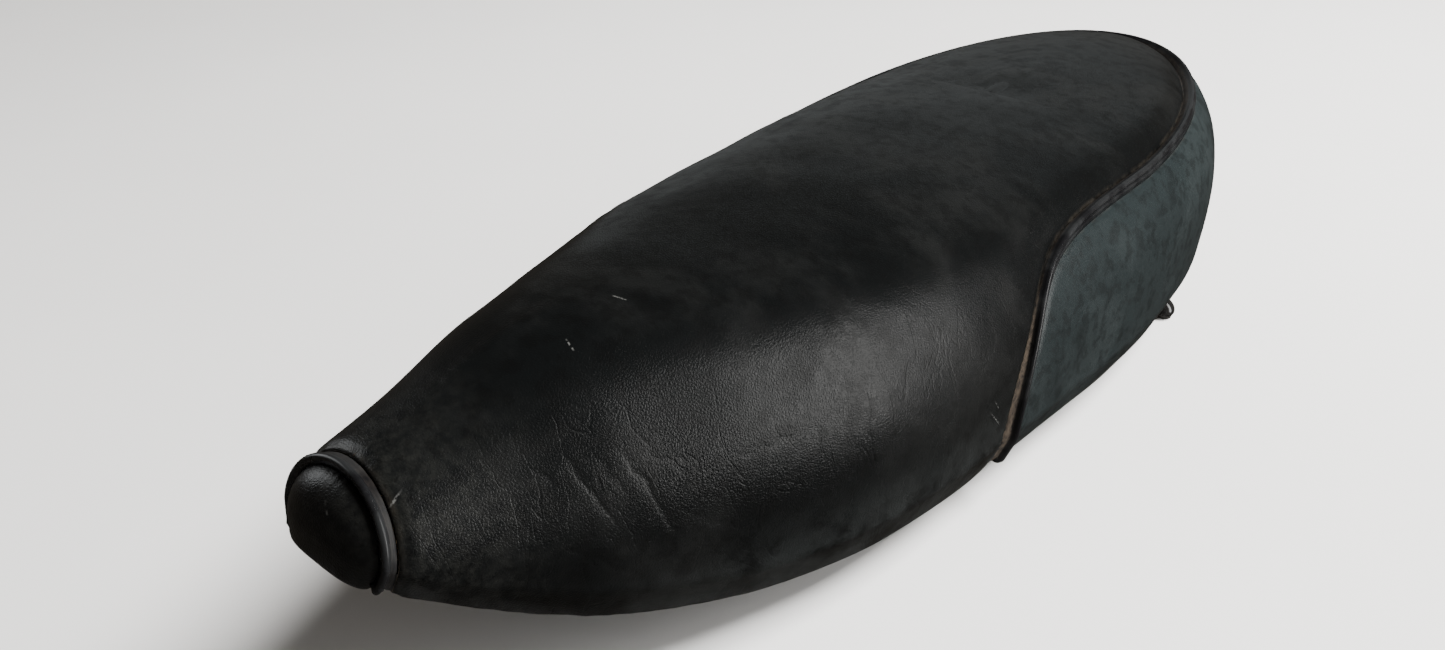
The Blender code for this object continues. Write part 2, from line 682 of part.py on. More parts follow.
def rear_latch(pan):
    """Bracket, hook with its finger tab, pin and return spring near the tail."""
    edge = deck_edge(1.0, PAN_DEPTH + PAN, -PAN)
    spot = Vector((0, ARCH_Y + BODY + TAIL - LATCH_AHEAD_OF_TAIL, edge[2] - 2 * CLEAR))
    lug, thick, drop = 0.0085, 0.0015, 0.0150
    bracket = clevis("latch_bracket", pan, spot, 0.0, lug, 0.0215, 0.016, drop, thick)
    centre = spot + Vector((0, 0, -0.0100))
    pin_and_washer("latch_pin", centre, lug + thick, bracket, LATCH_PIN_RADIUS)
    outline = [
        (-0.0048, 0.0020), (-0.0020, 0.0050), (0.0020, 0.0050), (0.0048, 0.0020),
        (0.0048, -0.0040), (0.0105, -0.0085), (0.0175, -0.0095), (0.0175, -0.0115),
        (0.0090, -0.0115), (0.0040, -0.0190), (-0.0060, -0.0215), (-0.0085, -0.0150),
        (-0.0060, -0.0135), (-0.0040, -0.0165), (-0.0005, -0.0155), (-0.0048, -0.0060),
    ]
    hook = extruded("latch_hook", outline, "X", 0.0030, (0, 0, 0), ZINC)
    hook.location = centre
    drill(hook, "bore", LATCH_PIN_RADIUS + CLEAR, centre - Vector((0.02, 0, 0)),
          centre + Vector((0.02, 0, 0)))
    per_turn, wire, size, pitch, leg = 12, 0.0005, 0.0037, 0.0016, 0.0085
    coil = [(0.0028, centre.y + size, centre.z - leg)]
    for k in range(31):
        turn = 2 * math.pi * k / per_turn
        coil.append((0.0028 + pitch * k / per_turn, centre.y + size * math.cos(turn),
                     centre.z + size * math.sin(turn)))
    coil.append((coil[-1][0], centre.y - size, centre.z - leg))
    tube("latch_spring", coil, wire, SPRING_STEEL, sides=1)


def main():
    for old in list(bpy.data.objects):
        bpy.data.objects.remove(old)
    cover()
    piping()
    foam_core()
    pan = base_pan()
    hem_clips()
    for which in BRACE_Y:
        brace_and_buffers(which)
    front_hinge(pan)
    rear_latch(pan)


main()
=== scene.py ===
"""Looks of the long motorcycle seat: stretched vinyl panels, piped seams, foam, rubber, metal.

Everything is in metres in the CAD frame: +Y to the tail, +X to the rider's left, +Z up. The skin
follows the CAD's own law, surface(along, up): along is -1 at the tip of the nose, 0 at the nose
arch, 1 where the tail begins and 2 at its end; up is 0 at the hem, 1 at the top of the straight
skirt, 2 at the widest line and 3 on the middle line of the crown.
"""
import json
import math

import bmesh
import bpy
import numpy as np
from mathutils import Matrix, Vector, noise
from mathutils.kdtree import KDTree


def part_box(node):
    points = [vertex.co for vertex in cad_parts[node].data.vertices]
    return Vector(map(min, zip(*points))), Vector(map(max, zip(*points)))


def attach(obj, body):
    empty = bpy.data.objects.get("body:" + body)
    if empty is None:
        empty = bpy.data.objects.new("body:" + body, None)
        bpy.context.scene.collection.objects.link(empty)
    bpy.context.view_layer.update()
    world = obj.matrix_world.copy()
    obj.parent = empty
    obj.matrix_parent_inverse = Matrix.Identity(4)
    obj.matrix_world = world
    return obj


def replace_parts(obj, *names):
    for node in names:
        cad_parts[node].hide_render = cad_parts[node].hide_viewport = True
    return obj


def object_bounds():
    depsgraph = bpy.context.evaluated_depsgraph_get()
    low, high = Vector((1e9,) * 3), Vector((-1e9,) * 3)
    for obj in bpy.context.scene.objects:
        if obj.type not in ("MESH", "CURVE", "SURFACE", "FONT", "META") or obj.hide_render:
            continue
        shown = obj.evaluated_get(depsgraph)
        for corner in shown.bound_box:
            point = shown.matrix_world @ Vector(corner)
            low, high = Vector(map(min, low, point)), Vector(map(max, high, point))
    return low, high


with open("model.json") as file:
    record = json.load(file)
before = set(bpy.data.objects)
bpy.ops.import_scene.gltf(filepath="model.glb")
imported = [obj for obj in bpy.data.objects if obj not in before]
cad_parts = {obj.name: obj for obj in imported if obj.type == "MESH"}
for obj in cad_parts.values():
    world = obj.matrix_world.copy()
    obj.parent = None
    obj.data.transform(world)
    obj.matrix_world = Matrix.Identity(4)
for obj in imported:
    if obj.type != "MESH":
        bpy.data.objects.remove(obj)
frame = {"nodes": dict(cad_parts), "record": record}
cad_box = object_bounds()

# -------------------- the skin's law

ARCH_Y = -0.33845           # where the nose arch's foot stands
BODY = 0.444                # from the arch to where the tail begins
TAIL = 0.238                # from there to the tail's end
DOME = 0.009                # how far the nose panel bulges in front of the arch
ARCH_STEP = 0.0035          # the nose panel's rim is this much smaller than the arch
# half the width, the crown's height and the hem's height, against along
HALF_WIDTH = ([0, 0.12, 0.28, 0.5, 0.75, 1.0], [0.0285, 0.048, 0.073, 0.102, 0.1135, 0.1195])
CROWN = ([0, 0.2, 0.45, 0.7, 1.0], [0.1395, 0.1555, 0.1535, 0.1505, 0.1460])
HEM = ([0, 0.1, 0.25, 0.5, 0.75, 1.0], [0.105, 0.070, 0.036, 0.023, 0.022, 0.0215])
NOSE_HEM_RISE = 0.003       # from the arch's foot to the tip of the nose
ARCH_LEAN = 0.30            # the arch leans back this much for its height
LEAN_END = 0.2              # where along the lean has faded
SKIRT = (0.008, 0.016)      # height of the straight skirt, at the arch and behind LEAN_END
WIDEST = 0.15               # how far up from the hem to the crown the widest line lies
TUCK = (0.003, 0.006)       # how far the hem tucks in under the widest line
# how square the sections are, against along: below 0.5 nearly flat, 1 round
SIDE_POWER = ([0, 0.45, 1.0], [1.04, 0.68, 0.53])
TOP_POWER = ([0, 0.45, 1.0], [1.04, 0.71, 0.67])
TAIL_SIDE_POWER = 0.38
TAIL_TOP_POWER = 0.46
SEAM_FOOT = 0.655           # where along the rear seam starts at the hem
SEAM_RISE = (0.40, 0.135)   # the seam turns over in a quick bend and a slow one
SEAM_TURN = (0.045, 0.14)
VINYL = 0.0015              # thickness of the cover
BAND_GAP = 0.0036           # from the middle of the rear piping to the band's edge
ARCH_GAP = 0.0037           # from the nose piping to the top panel's edge
LIP_DEPTH = 0.0033          # the turned-in hem lies this deep, inside the pan's skirt
LIP_TOP = 0.62              # how far up the skirt the turned-in hem ends
LIP_FOOT = 0.25             # and where it leaves the fold
TAIL_ARC = 0.29             # length of the tail's side, for spacing rows along it
GIRTH = 0.225               # half the girth over the seat, for spacing points across it
NOSE_RISE = 0.045           # the same two lengths on the nose panel
NOSE_GIRTH = 0.09
FAR = 0.05                  # a distance from the hem that means far from it

CELL = 0.0017   # spacing of the cover's mesh


def spline(table, at, level_end=False):
    """Natural cubic spline through the table's values; level_end makes its last slope zero."""
    knots, values = np.array(table[0], float), np.array(table[1], float)
    count, step = len(knots), np.diff(knots)
    slope = np.diff(values) / step
    system, right = np.eye(count), np.zeros(count)
    for i in range(1, count - 1):
        system[i, i - 1:i + 2] = step[i - 1], 2 * (step[i - 1] + step[i]), step[i]
        right[i] = 6 * (slope[i] - slope[i - 1])
    if level_end:
        system[-1, -2:] = step[-1], 2 * step[-1]
        right[-1] = -6 * slope[-1]
    bend = np.linalg.solve(system, right)
    i = np.clip(np.searchsorted(knots, at) - 1, 0, count - 2)
    left, after, h = at - knots[i], knots[i + 1] - at, step[i]
    return (
        (bend[i] * after ** 3 + bend[i + 1] * left ** 3) / (6 * h)
        + (values[i] / h - bend[i] * h / 6) * after
        + (values[i + 1] / h - bend[i + 1] * h / 6) * left
    )


def skirt_height(along):
    return SKIRT[0] + (SKIRT[1] - SKIRT[0]) * np.clip(np.asarray(along) / LEAN_END, 0, 1)


def surface(along, up):
    """Points of the skin's left half, for arrays of along and up."""
    along, up = np.broadcast_arrays(np.asarray(along, float), np.asarray(up, float))
    nose, tail = along < 0, along > 1
    body = np.clip(along, 0, 1)
    turn = np.where(nose, -along, np.where(tail, along - 1, 0)) * math.pi / 2
    share = np.where(tail, np.sin(turn) ** 2, 0)
    arch_hem = spline(HEM, np.zeros(1))[0]
    hem = spline(HEM, body) + np.where(nose, NOSE_HEM_RISE * np.sin(turn) ** 2, 0)
    half = spline(HALF_WIDTH, body, True) - np.where(nose, ARCH_STEP, 0)
    crown = spline(CROWN, body) - np.where(nose, ARCH_STEP, 0)
    fade = np.clip(body / LEAN_END, 0, 1)
    skirt = skirt_height(body)
    tuck = TUCK[0] + (TUCK[1] - TUCK[0]) * fade
    side = np.interp(body, *SIDE_POWER) + (TAIL_SIDE_POWER - SIDE_POWER[1][-1]) * share
    top = np.interp(body, *TOP_POWER) + (TAIL_TOP_POWER - TOP_POWER[1][-1]) * share
    radius = np.where(tail, np.hypot(half * np.cos(turn), TAIL * np.sin(turn)), half)
    widest = hem + np.maximum(WIDEST * (crown - hem), 1.3 * skirt)
    angle = np.clip(up - 2, 0, 1) * math.pi / 2
    rise = np.where(up < 1, skirt * up, skirt + (widest - hem - skirt) * (np.minimum(up, 2) - 1))
    drop, bend = 1 - rise / (widest - hem), 1 - skirt / (widest - hem)
    curve = np.where(drop < bend, drop ** 2, bend ** 2 + 2 * bend * (drop - bend))
    low_out = radius - tuck / (2 * bend - bend ** 2) * curve
    out = np.where(up >= 2, radius * np.maximum(np.cos(angle), 0) ** side, low_out)
    height = np.where(up >= 2, widest + (crown - widest) * np.sin(angle) ** top, hem + rise)
    reach = out / radius
    lean = ARCH_LEAN * np.where(
        nose, 1, np.where(tail, 0, np.maximum(0, 1 - body / LEAN_END) ** 1.5)
    )
    foot = np.where(nose, arch_hem, hem)
    x = np.where(nose, out * np.cos(turn), np.where(tail, half * np.cos(turn) * reach, out))
    y = ARCH_Y + BODY * body + lean * (height - foot)
    y = y - np.where(nose, DOME * np.sin(turn) * np.abs(out / half) ** 0.8, 0)
    y = y + np.where(tail, TAIL * np.sin(turn) * reach, 0)
    return np.stack([x, y, height], -1)


def unit(vectors):
    """The vectors at length one; any without a length points up."""
    size = np.linalg.norm(vectors, axis=-1, keepdims=True)
    return np.where(size > 1e-12, vectors / np.maximum(size, 1e-12), [0, 0, 1.0])


def skin_normal(along, up):
    """Unit normals of the skin, pointing out."""
    along, up = np.broadcast_arrays(np.asarray(along, float), np.asarray(up, float))
    low = np.where(along < 0, -1.0, np.where(along <= 1, 0.0, 1.00001))
    high = np.where(along < 0, -0.00001, np.where(along <= 1, 1.0, 2.0))
    step = 0.004
    ahead = surface(np.minimum(along + step, high), up) - surface(np.maximum(along - step, low), up)
    over = surface(along, np.minimum(up + step, 2.97)) - surface(
        along, np.clip(up - step, 0, 2.96))
    out = unit(np.cross(ahead, over))
    out[..., 0] = np.where((np.abs(along) > 1.999) | (along < -0.999), 0, out[..., 0])
    return unit(out)


def seam_up(along):
    """How far up the rear seam lies, behind its foot."""
    past = np.asarray(along) - SEAM_FOOT
    return 2 + sum(r * (1 - np.exp(-past / t)) for r, t in zip(SEAM_RISE, SEAM_TURN))


def seam_path(count=260):
    """(along, up) of points along the left half of the rear seam, from the hem to the tail."""
    stops = SEAM_FOOT + (2 - SEAM_FOOT) * np.linspace(0, 1, count) ** 1.8
    flank = np.linspace(0, 2, count // 4, endpoint=False)
    along = np.concatenate([np.full(len(flank), SEAM_FOOT), stops])
    return along, np.concatenate([flank, seam_up(stops)])


def on_skin(pairs):
    """Points on the skin for a list of (along, up)."""
    along, up = np.array(pairs, float).T
    return surface(along, up)


def on_left(points):
    """The points, with those of the right side mirrored over to the left."""
    return np.abs(points * [1, 0, 0]) + points * [0, 1, 1]


def smooth(low, high, value):
    """0 up to low, 1 from high, and a smooth step between them."""
    share = np.clip((value - low) / (high - low), 0, 1)
    return share * share * (3 - 2 * share)


def bell(distance, reach):
    return np.exp(-(distance / reach) ** 2)


def lengths(points):
    """Length along a run of points, at each of them."""
    return np.concatenate([[0], np.cumsum(np.linalg.norm(np.diff(points, axis=0), axis=1))])


def nearest(points, line, chunk=4000):
    """Distance from each point to a polyline, and how far along it the nearest place is."""
    a, d = line[:-1], np.diff(line, axis=0)
    size, run = (d * d).sum(1), lengths(line)
    found, where = np.empty(len(points)), np.empty(len(points))
    for start in range(0, len(points), chunk):
        p = points[start:start + chunk, None, :]
        t = np.clip(((p - a) * d).sum(2) / size, 0, 1)
        gap = np.linalg.norm(p - (a + t[..., None] * d), axis=2)
        best = gap.argmin(1)
        rows = np.arange(len(best))
        found[start:start + chunk] = gap[rows, best]
        where[start:start + chunk] = run[best] + t[rows, best] * np.sqrt(size[best])
    return found, where


def waves(points, scale, seed):
    """Smooth noise from about -1 to 1 at each point."""
    shift = Vector((seed * 7.3, seed * 3.1, seed * 5.7))
    return np.array([noise.noise(Vector(p) * scale + shift) for p in points]) * 1.6


# -------------------- shaders

VINYL_SPECULAR = 0.16     # old vinyl is dull, and the piping's smooth vinyl a little less so
PIPING_SPECULAR = 0.22


def new_finish(name):
    """Starts a material; the functions below add their nodes to the one started last."""
    global tree
    made = bpy.data.materials.new(name)
    made.use_nodes = True
    tree = made.node_tree
    return made, tree.nodes["Principled BSDF"]


def plug(socket, value):
    """Links a socket to another one, or gives it a value."""
    if isinstance(value, bpy.types.NodeSocket):
        tree.links.new(value, socket)
    else:
        socket.default_value = value


def wire(shader, colour, rough, normal):
    """Plugs the three channels that every finish here has."""
    for name, value in (("Base Color", colour), ("Roughness", rough), ("Normal", normal)):
        plug(shader.inputs[name], value)


def node(kind, inputs=None, **settings):
    """A shader node; inputs maps a socket's name or number to a value or to another socket."""
    made = tree.nodes.new("ShaderNode" + kind)
    for key, value in settings.items():
        setattr(made, key, value)
    for key, value in (inputs or {}).items():
        plug(made.inputs[key], value)
    return made


def maths(operation, a, b=0.0, clamp=False):
    return node("Math", {0: a, 1: b}, operation=operation, use_clamp=clamp).outputs[0]


def times(a, b, clamp=False):
    return maths("MULTIPLY", a, b, clamp)


def plus(a, b, clamp=False):
    return maths("ADD", a, b, clamp)


def rougher(gloss, *parts):
    """Roughness that grows from gloss with each part's (value, weight)."""
    for value, weight in parts:
        gloss = plus(gloss, times(value, weight), True)
    return gloss


def inverse(share):
    return maths("SUBTRACT", 1.0, share)


def ramp(value, low, high, start=0.0, end=1.0):
    """value between low and high, taken smoothly to start and end."""
    return node("MapRange", {0: value, 1: low, 2: high, 3: start, 4: end},
                interpolation_type="SMOOTHSTEP").outputs[0]


def mix(share, first, second):
    """first where share is 0 and second where it is 1; each is a colour or a socket."""
    made = node("Mix", {0: share}, data_type="RGBA")
    for number, value in ((6, first), (7, second)):
        plug(made.inputs[number], (*value, 1) if isinstance(value, tuple) else value)
    return made.outputs[2]


def tinted(colour, *layers):
    """The colour under layers of (mask, strength, colour)."""
    for mask, strength, over in layers:
        colour = mix(times(mask, strength), colour, over)
    return colour


def place():
    """Where a point is in its object, so in the CAD frame."""
    return node("TexCoord").outputs["Object"]


def cloud(scale, detail=3.0, rough=0.55, stretch=None, twist=0.0):
    where = place()
    if stretch:
        where = node("Mapping", {0: where, "Scale": stretch}).outputs[0]
    return node(
        "TexNoise",
        {"Vector": where, "Scale": scale, "Detail": detail, "Roughness": rough,
         "Distortion": twist},
    ).outputs["Fac"]


def position(axis):
    return node("SeparateXYZ", {0: place()}).outputs[axis]


def blotches(scale, detail, rough, low, high, twist=0.0):
    """Patches of noise: 0 where it is below low, 1 where it is above high."""
    return ramp(cloud(scale, detail, rough, twist=twist), low, high)


def attribute(name):
    return node("Attribute", attribute_name=name).outputs["Fac"]


def bump(height, strength, reach, below=None):
    inputs = {"Height": height, "Strength": strength, "Distance": reach}
    if below is not None:
        inputs["Normal"] = below
    return node("Bump", inputs).outputs[0]


def leather_grain(size=0.0012):
    """Height of pressed leather grain: rounded cells with fine valleys between them."""
    where = place()
    bent = node("TexNoise", {"Vector": where, "Scale": 260.0, "Detail": 2.0}).outputs[1]
    bend = node("VectorMath", {0: bent, "Scale": size * 0.9}, operation="SCALE").outputs[0]
    shifted = node("VectorMath", {0: bend, 1: where}, operation="ADD").outputs[0]
    cells = node(
        "TexVoronoi", {"Vector": shifted, "Scale": 1 / size}, feature="DISTANCE_TO_EDGE"
    ).outputs[0]
    rounded = ramp(cells, 0.0, 0.32)
    fine = node("TexNoise", {"Vector": where, "Scale": 2600.0, "Detail": 2.0}).outputs[0]
    return plus(rounded, times(fine, 0.35))


def scratch_mask(start, end, width):
    """1 along a fine straight scratch between two points, fading at its ends and breaking up."""
    where = place()
    start, end = Vector(start), Vector(end)
    run = end - start
    rel = node("VectorMath", {0: where, 1: start}, operation="SUBTRACT").outputs[0]
    dot = node("VectorMath", {0: rel, 1: run / run.length_squared},
               operation="DOT_PRODUCT").outputs["Value"]
    share = plus(dot, 0.0, True)
    on_line = node("VectorMath", {0: run, "Scale": share}, operation="SCALE").outputs[0]
    off = node("VectorMath", {0: rel, 1: on_line}, operation="DISTANCE").outputs["Value"]
    line = ramp(off, width * 0.3, width, 1.0, 0.0)
    ends = times(times(share, inverse(share)), 5, True)
    patchy = ramp(cloud(700.0), 0.42, 0.60)
    return times(times(line, ends), patchy)


CREASES = [
    # (along, up) of each crease on the left flank, width, depth
    ([(0.149, 2.503), (0.1545, 2.384), (0.1675, 2.264), (0.180, 2.155)], 0.0016, 0.0010),
    ([(0.197, 2.478), (0.2027, 2.362), (0.2183, 2.192), (0.2294, 2.090)], 0.0017, 0.0011),
    ([(0.1188, 2.448), (0.1326, 2.361)], 0.0015, 0.0006),
    ([(0.2083, 2.379), (0.2577, 2.318)], 0.0018, 0.0006),
    ([(0.2829, 2.293), (0.3588, 2.293)], 0.0020, 0.0006),
    ([(0.172, 2.470), (0.181, 2.36), (0.194, 2.25)], 0.0014, 0.0004),
    ([(0.232, 2.20), (0.262, 2.13), (0.300, 2.08)], 0.0020, 0.0005),
    ([(0.150, 2.11), (0.170, 2.05), (0.200, 2.02)], 0.0020, 0.0005),
    ([(0.6960, 2.415), (0.7203, 2.365)], 0.0013, 0.0006),
    ([(0.7001, 2.365), (0.7161, 2.335)], 0.0013, 0.0005),
    ([(0.7080, 2.450), (0.7280, 2.400)], 0.0012, 0.0004),
]
FAR_CREASES = [
    ([(0.10, 2.42), (0.125, 2.28), (0.15, 2.15)], 0.0017, 0.0006),
    ([(0.24, 2.40), (0.26, 2.26), (0.29, 2.14)], 0.0018, 0.0008),
    ([(0.45, 2.30), (0.52, 2.26)], 0.0020, 0.0005),
    ([(0.69, 2.40), (0.715, 2.35)], 0.0013, 0.0005),
]


def crease_lines():
    """Height with a fine valley along every crease, wandering a little."""
    wander = maths("SUBTRACT", cloud(150.0, 3.0), 0.5)
    off = plus(attribute("beside"), times(wander, 0.0080))
    valley = ramp(maths("ABSOLUTE", off), 0.0001, 0.0018, 1.0, 0.0)
    return inverse(times(valley, attribute("crease")))


def fine_wrinkles():
    """Height with fine wandering valleys, where the foam has been sat on and kneaded."""
    net = cloud(30.0, 3.0, 0.5, stretch=(1.0, 1.9, 0.8), twist=0.8)
    lines = ramp(maths("ABSOLUTE", maths("SUBTRACT", net, 0.5)), 0.0, 0.022)
    area = ramp(cloud(9.0, 2.0), 0.42, 0.62)
    ahead = ramp(position("Y"), -0.10, 0.02, 1.0, 0.25)
    low = ramp(position("Z"), 0.135, 0.145, 1.0, 0.0)
    area = times(times(area, ahead), low)
    return inverse(times(inverse(lines), area))


SCRATCHES = [
    ((0.022, 2.567), (0.0001, 2.412), 0.0007), ((0.6215, 2.224), (0.6299, 2.174), 0.0005),
    ((0.5947, 2.079), (0.6248, 2.020), 0.0005), ((0.2785, 2.937), (0.2837, 2.890), 0.0005),
    ((0.2126, 2.855), (0.2094, 2.791), 0.0005), ((0.600, 2.110), (0.612, 2.070), 0.0004),
]
CAP_SCRATCHES = [((-0.9143, 2.551), (-0.808, 2.347), 0.0006)]


def vinyl(name, dark, blotch, dusty, scratches, gloss, haze_and_table_glow=0.0, wrinkled=False):
    """Old grained vinyl: blotched colour, dust by the seams, creases lightened by wear and light
    scratches.

    The haze strength greys the front end and also paints the lower flanks lighter in patches, a
    painted reflection of the table; wrinkled adds creases and fine wrinkles.
    """
    made, shader = new_finish(name)
    big = blotches(16.0, 5.0, 0.6, 0.42, 0.66, twist=0.4)
    small = blotches(120.0, 4.0, 0.65, 0.46, 0.62)
    spots = blotches(330.0, 3.0, 0.6, 0.60, 0.70)
    by_seam = times(ramp(attribute("seam"), 0.0003, 0.0030, 1.0, 0.0),
                    blotches(90.0, 4.0, 0.7, 0.35, 0.7))
    by_hem = times(ramp(attribute("hem"), 0.0, 0.010, 1.0, 0.0), blotches(60.0, 4.0, 0.7, 0.4, 0.7))
    colour = tinted(dark, (big, 0.75, blotch), (small, 0.38, (0.0012, 0.0012, 0.0012)),
                    (by_seam, 0.35, dusty), (attribute("crease"), 0.3, blotch),
                    (by_hem, 0.5, (0.026, 0.026, 0.027)))
    if haze_and_table_glow:
        # painted reflection of the table: the lower flanks are painted lighter and a little blue,
        # in patches
        low = ramp(position("Z"), 0.022, 0.085, 1.0, 0.0)
        painted_table_glow = times(low, blotches(40.0, 5.0, 0.7, 0.3, 0.6))
        colour = mix(times(painted_table_glow, 0.6), colour, (0.022, 0.0245, 0.0245))
        front = ramp(position("Y"), ARCH_Y + 0.004, ARCH_Y + 0.075, 1.0, 0.0)
        patchy = blotches(210.0, 5.0, 0.7, 0.38, 0.68)
        colour = tinted(colour, (times(front, patchy), haze_and_table_glow, (0.014, 0.0142, 0.0128)),
                        (times(spots, front), 0.7, (0.002, 0.002, 0.002)))
    else:
        colour = mix(times(spots, 0.25), colour, (0.003, 0.003, 0.003))
    marks = None
    for start, end, width in scratches:
        a, b = on_skin([start, end])
        one = scratch_mask(a, b, width)
        marks = one if marks is None else maths("MAXIMUM", marks, one)
    if marks is not None:
        colour = mix(times(marks, 0.55), colour, (0.11, 0.11, 0.106))
    rough = rougher(gloss, (big, 0.07), (small, 0.06), (by_seam, 0.10))
    shader.inputs["Specular IOR Level"].default_value = VINYL_SPECULAR
    soft = bump(cloud(70.0, 4.0, 0.6), 0.12, 0.0006)
    if wrinkled:
        soft = bump(crease_lines(), 0.26, 0.0004, soft)
        soft = bump(fine_wrinkles(), 0.16, 0.0004, soft)
    grained = bump(leather_grain(), 0.22, 0.00022, soft)
    wire(shader, colour, rough, grained)
    return made


def backing():
    """The woven backing that shows at the vinyl's cut edges."""
    made, shader = new_finish("vinyl_backing")
    weave = node("TexVoronoi", {"Vector": place(), "Scale": 1900.0}).outputs[0]
    tone = cloud(140.0, 4.0)
    colour = mix(ramp(tone, 0.35, 0.65), (0.022, 0.016, 0.011), (0.090, 0.068, 0.048))
    wire(shader, colour, 0.9, bump(weave, 0.5, 0.0003))
    return made


def piping_vinyl(name, gloss, dust):
    """Smooth, shinier vinyl over the cord; the flange beside it carries dust."""
    made, shader = new_finish(name)
    tone = blotches(60.0, 4.0, 0.6, 0.4, 0.65)
    colour = mix(tone, (0.004, 0.004, 0.0045), (0.010, 0.0105, 0.011))
    lint = times(attribute("dust"), blotches(240.0, 5.0, 0.75, 0.30, 0.62))
    colour = mix(times(lint, dust), colour, (0.070, 0.053, 0.038))
    rough = rougher(gloss, (tone, 0.10), (attribute("dust"), 0.5))
    shader.inputs["Specular IOR Level"].default_value = PIPING_SPECULAR
    wire(shader, colour, rough, bump(cloud(900.0, 3.0), 0.10, 0.0002))
    return made


def foam_finish():
    made, shader = new_finish("aged_foam")
    cells = node("TexVoronoi", {"Vector": place(), "Scale": 650.0}).outputs[0]
    tone = ramp(cloud(30.0, 5.0), 0.35, 0.7)
    colour = mix(tone, (0.42, 0.30, 0.13), (0.62, 0.50, 0.28))
    colour = mix(ramp(cells, 0.25, 0.6), colour, (0.24, 0.16, 0.07))
    wire(shader, colour, 0.95, bump(cells, 0.6, 0.0006))
    return made


def painted_steel(name, paint, rust_share):
    """Black paint, chipped and rusting, on pressed steel."""
    made, shader = new_finish(name)
    tone = blotches(24.0, 5.0, 0.6, 0.35, 0.7)
    colour = mix(tone, paint, tuple(1.9 * c for c in paint))
    clean = rust_share * 0.25
    patches = blotches(38.0, 8.0, 0.72, 0.72 - clean, 0.80 - clean, twist=0.6)
    rust_tone = blotches(300.0, 5.0, 0.7, 0.35, 0.65)
    rust = mix(rust_tone, (0.040, 0.018, 0.009), (0.115, 0.050, 0.022))
    colour = mix(patches, colour, rust)
    rough = rougher(0.36, (tone, 0.15), (patches, 0.45))
    shader.inputs["Metallic"].default_value = 0.1
    grit = times(rust_tone, patches)
    low = bump(cloud(400.0, 3.0), 0.08, 0.0003)
    wire(shader, colour, rough, bump(grit, 0.5, 0.0004, low))
    return made


def bare_metal(name, bright, dull, gloss, rust_share):
    """Plated or spring steel, dulled, with a little rust."""
    made, shader = new_finish(name)
    tone = blotches(90.0, 6.0, 0.65, 0.35, 0.68)
    colour = mix(tone, bright, dull)
    clean = rust_share * 0.3
    patches = ramp(cloud(160.0, 7.0, 0.7), 0.74 - clean, 0.82 - clean)
    colour = mix(patches, colour, (0.11, 0.050, 0.022))
    plug(shader.inputs["Metallic"], ramp(patches, 0, 1, 0.95, 0.1))
    rough = rougher(gloss, (tone, 0.2), (patches, 0.4))
    brushed = cloud(500.0, 2.0, 0.5, stretch=(1.0, 8.0, 1.0))
    wire(shader, colour, rough, bump(brushed, 0.12, 0.0002))
    return made


def rubber(name):
    made, shader = new_finish(name)
    tone = blotches(160.0, 5.0, 0.6, 0.4, 0.7)
    colour = mix(tone, (0.006, 0.006, 0.006), (0.020, 0.019, 0.018))
    scuffed = times(ramp(position("Z"), 0.0, 0.004, 1.0, 0.0), ramp(cloud(300.0), 0.35, 0.6))
    colour = mix(times(scuffed, 0.6), colour, (0.06, 0.055, 0.05))
    rough = rougher(0.16, (tone, 0.15), (scuffed, 0.4))
    wire(shader, colour, rough, bump(cloud(1200.0, 2.0), 0.06, 0.0002))
    return made


TOP = vinyl("top_vinyl_worn", (0.0022, 0.0025, 0.0026), (0.0064, 0.0067, 0.0066),
            (0.036, 0.030, 0.023), SCRATCHES, 0.30, haze_and_table_glow=0.5, wrinkled=True)
NOSE = vinyl("nose_vinyl_worn", (0.0040, 0.0042, 0.0043), (0.0100, 0.0104, 0.0100),
             (0.04, 0.037, 0.032), CAP_SCRATCHES, 0.30, haze_and_table_glow=0.35)
# painted reflection: the rear band's vinyl is painted about four times lighter and bluer than the
# top's, standing in for the table's reflection on the same dark vinyl
BAND_PAINTED_GLOW = vinyl("band_vinyl_worn_painted_reflection", (0.0092, 0.0122, 0.0128), (0.0140, 0.0180, 0.0186),
             (0.05, 0.047, 0.042), [], 0.36)
BACKING = backing()
NOSE_PIPE = piping_vinyl("nose_piping_vinyl", 0.22, 0.12)
REAR_PIPE = piping_vinyl("rear_piping_vinyl", 0.30, 0.85)


# -------------------- building meshes

WELD = 0.00002            # points closer than this are one


def show(name, data):
    """A new object in the scene."""
    made = bpy.data.objects.new(name, data)
    bpy.context.scene.collection.objects.link(made)
    return made


def new_piece(name, points, faces, values, finishes, slot=None):
    """A smooth shaded mesh object with per-vertex values."""
    mesh = bpy.data.meshes.new(name)
    mesh.from_pydata([tuple(p) for p in points], [], faces)
    for key, value in values.items():
        layer = mesh.attributes.new(key, "FLOAT", "POINT")
        layer.data.foreach_set("value", np.asarray(value, np.float32))
    work = bmesh.new()
    work.from_mesh(mesh)
    bmesh.ops.remove_doubles(work, verts=work.verts, dist=WELD)
    bmesh.ops.dissolve_degenerate(work, edges=work.edges, dist=WELD)
    bmesh.ops.recalc_face_normals(work, faces=work.faces)
    work.to_mesh(mesh)
    work.free()
    for finish in finishes:
        mesh.materials.append(finish)
    mesh.shade_smooth()
    made = show(name, mesh)
    return made


def thicken(piece):
    """Gives a sheet its thickness inwards; its cut edges show its second material, the backing."""
    solid = piece.modifiers.new("thickness", "SOLIDIFY")
    solid.thickness = VINYL - 0.0001
    solid.offset = -1
    solid.use_rim = True
    solid.material_offset_rim = 1
    return piece


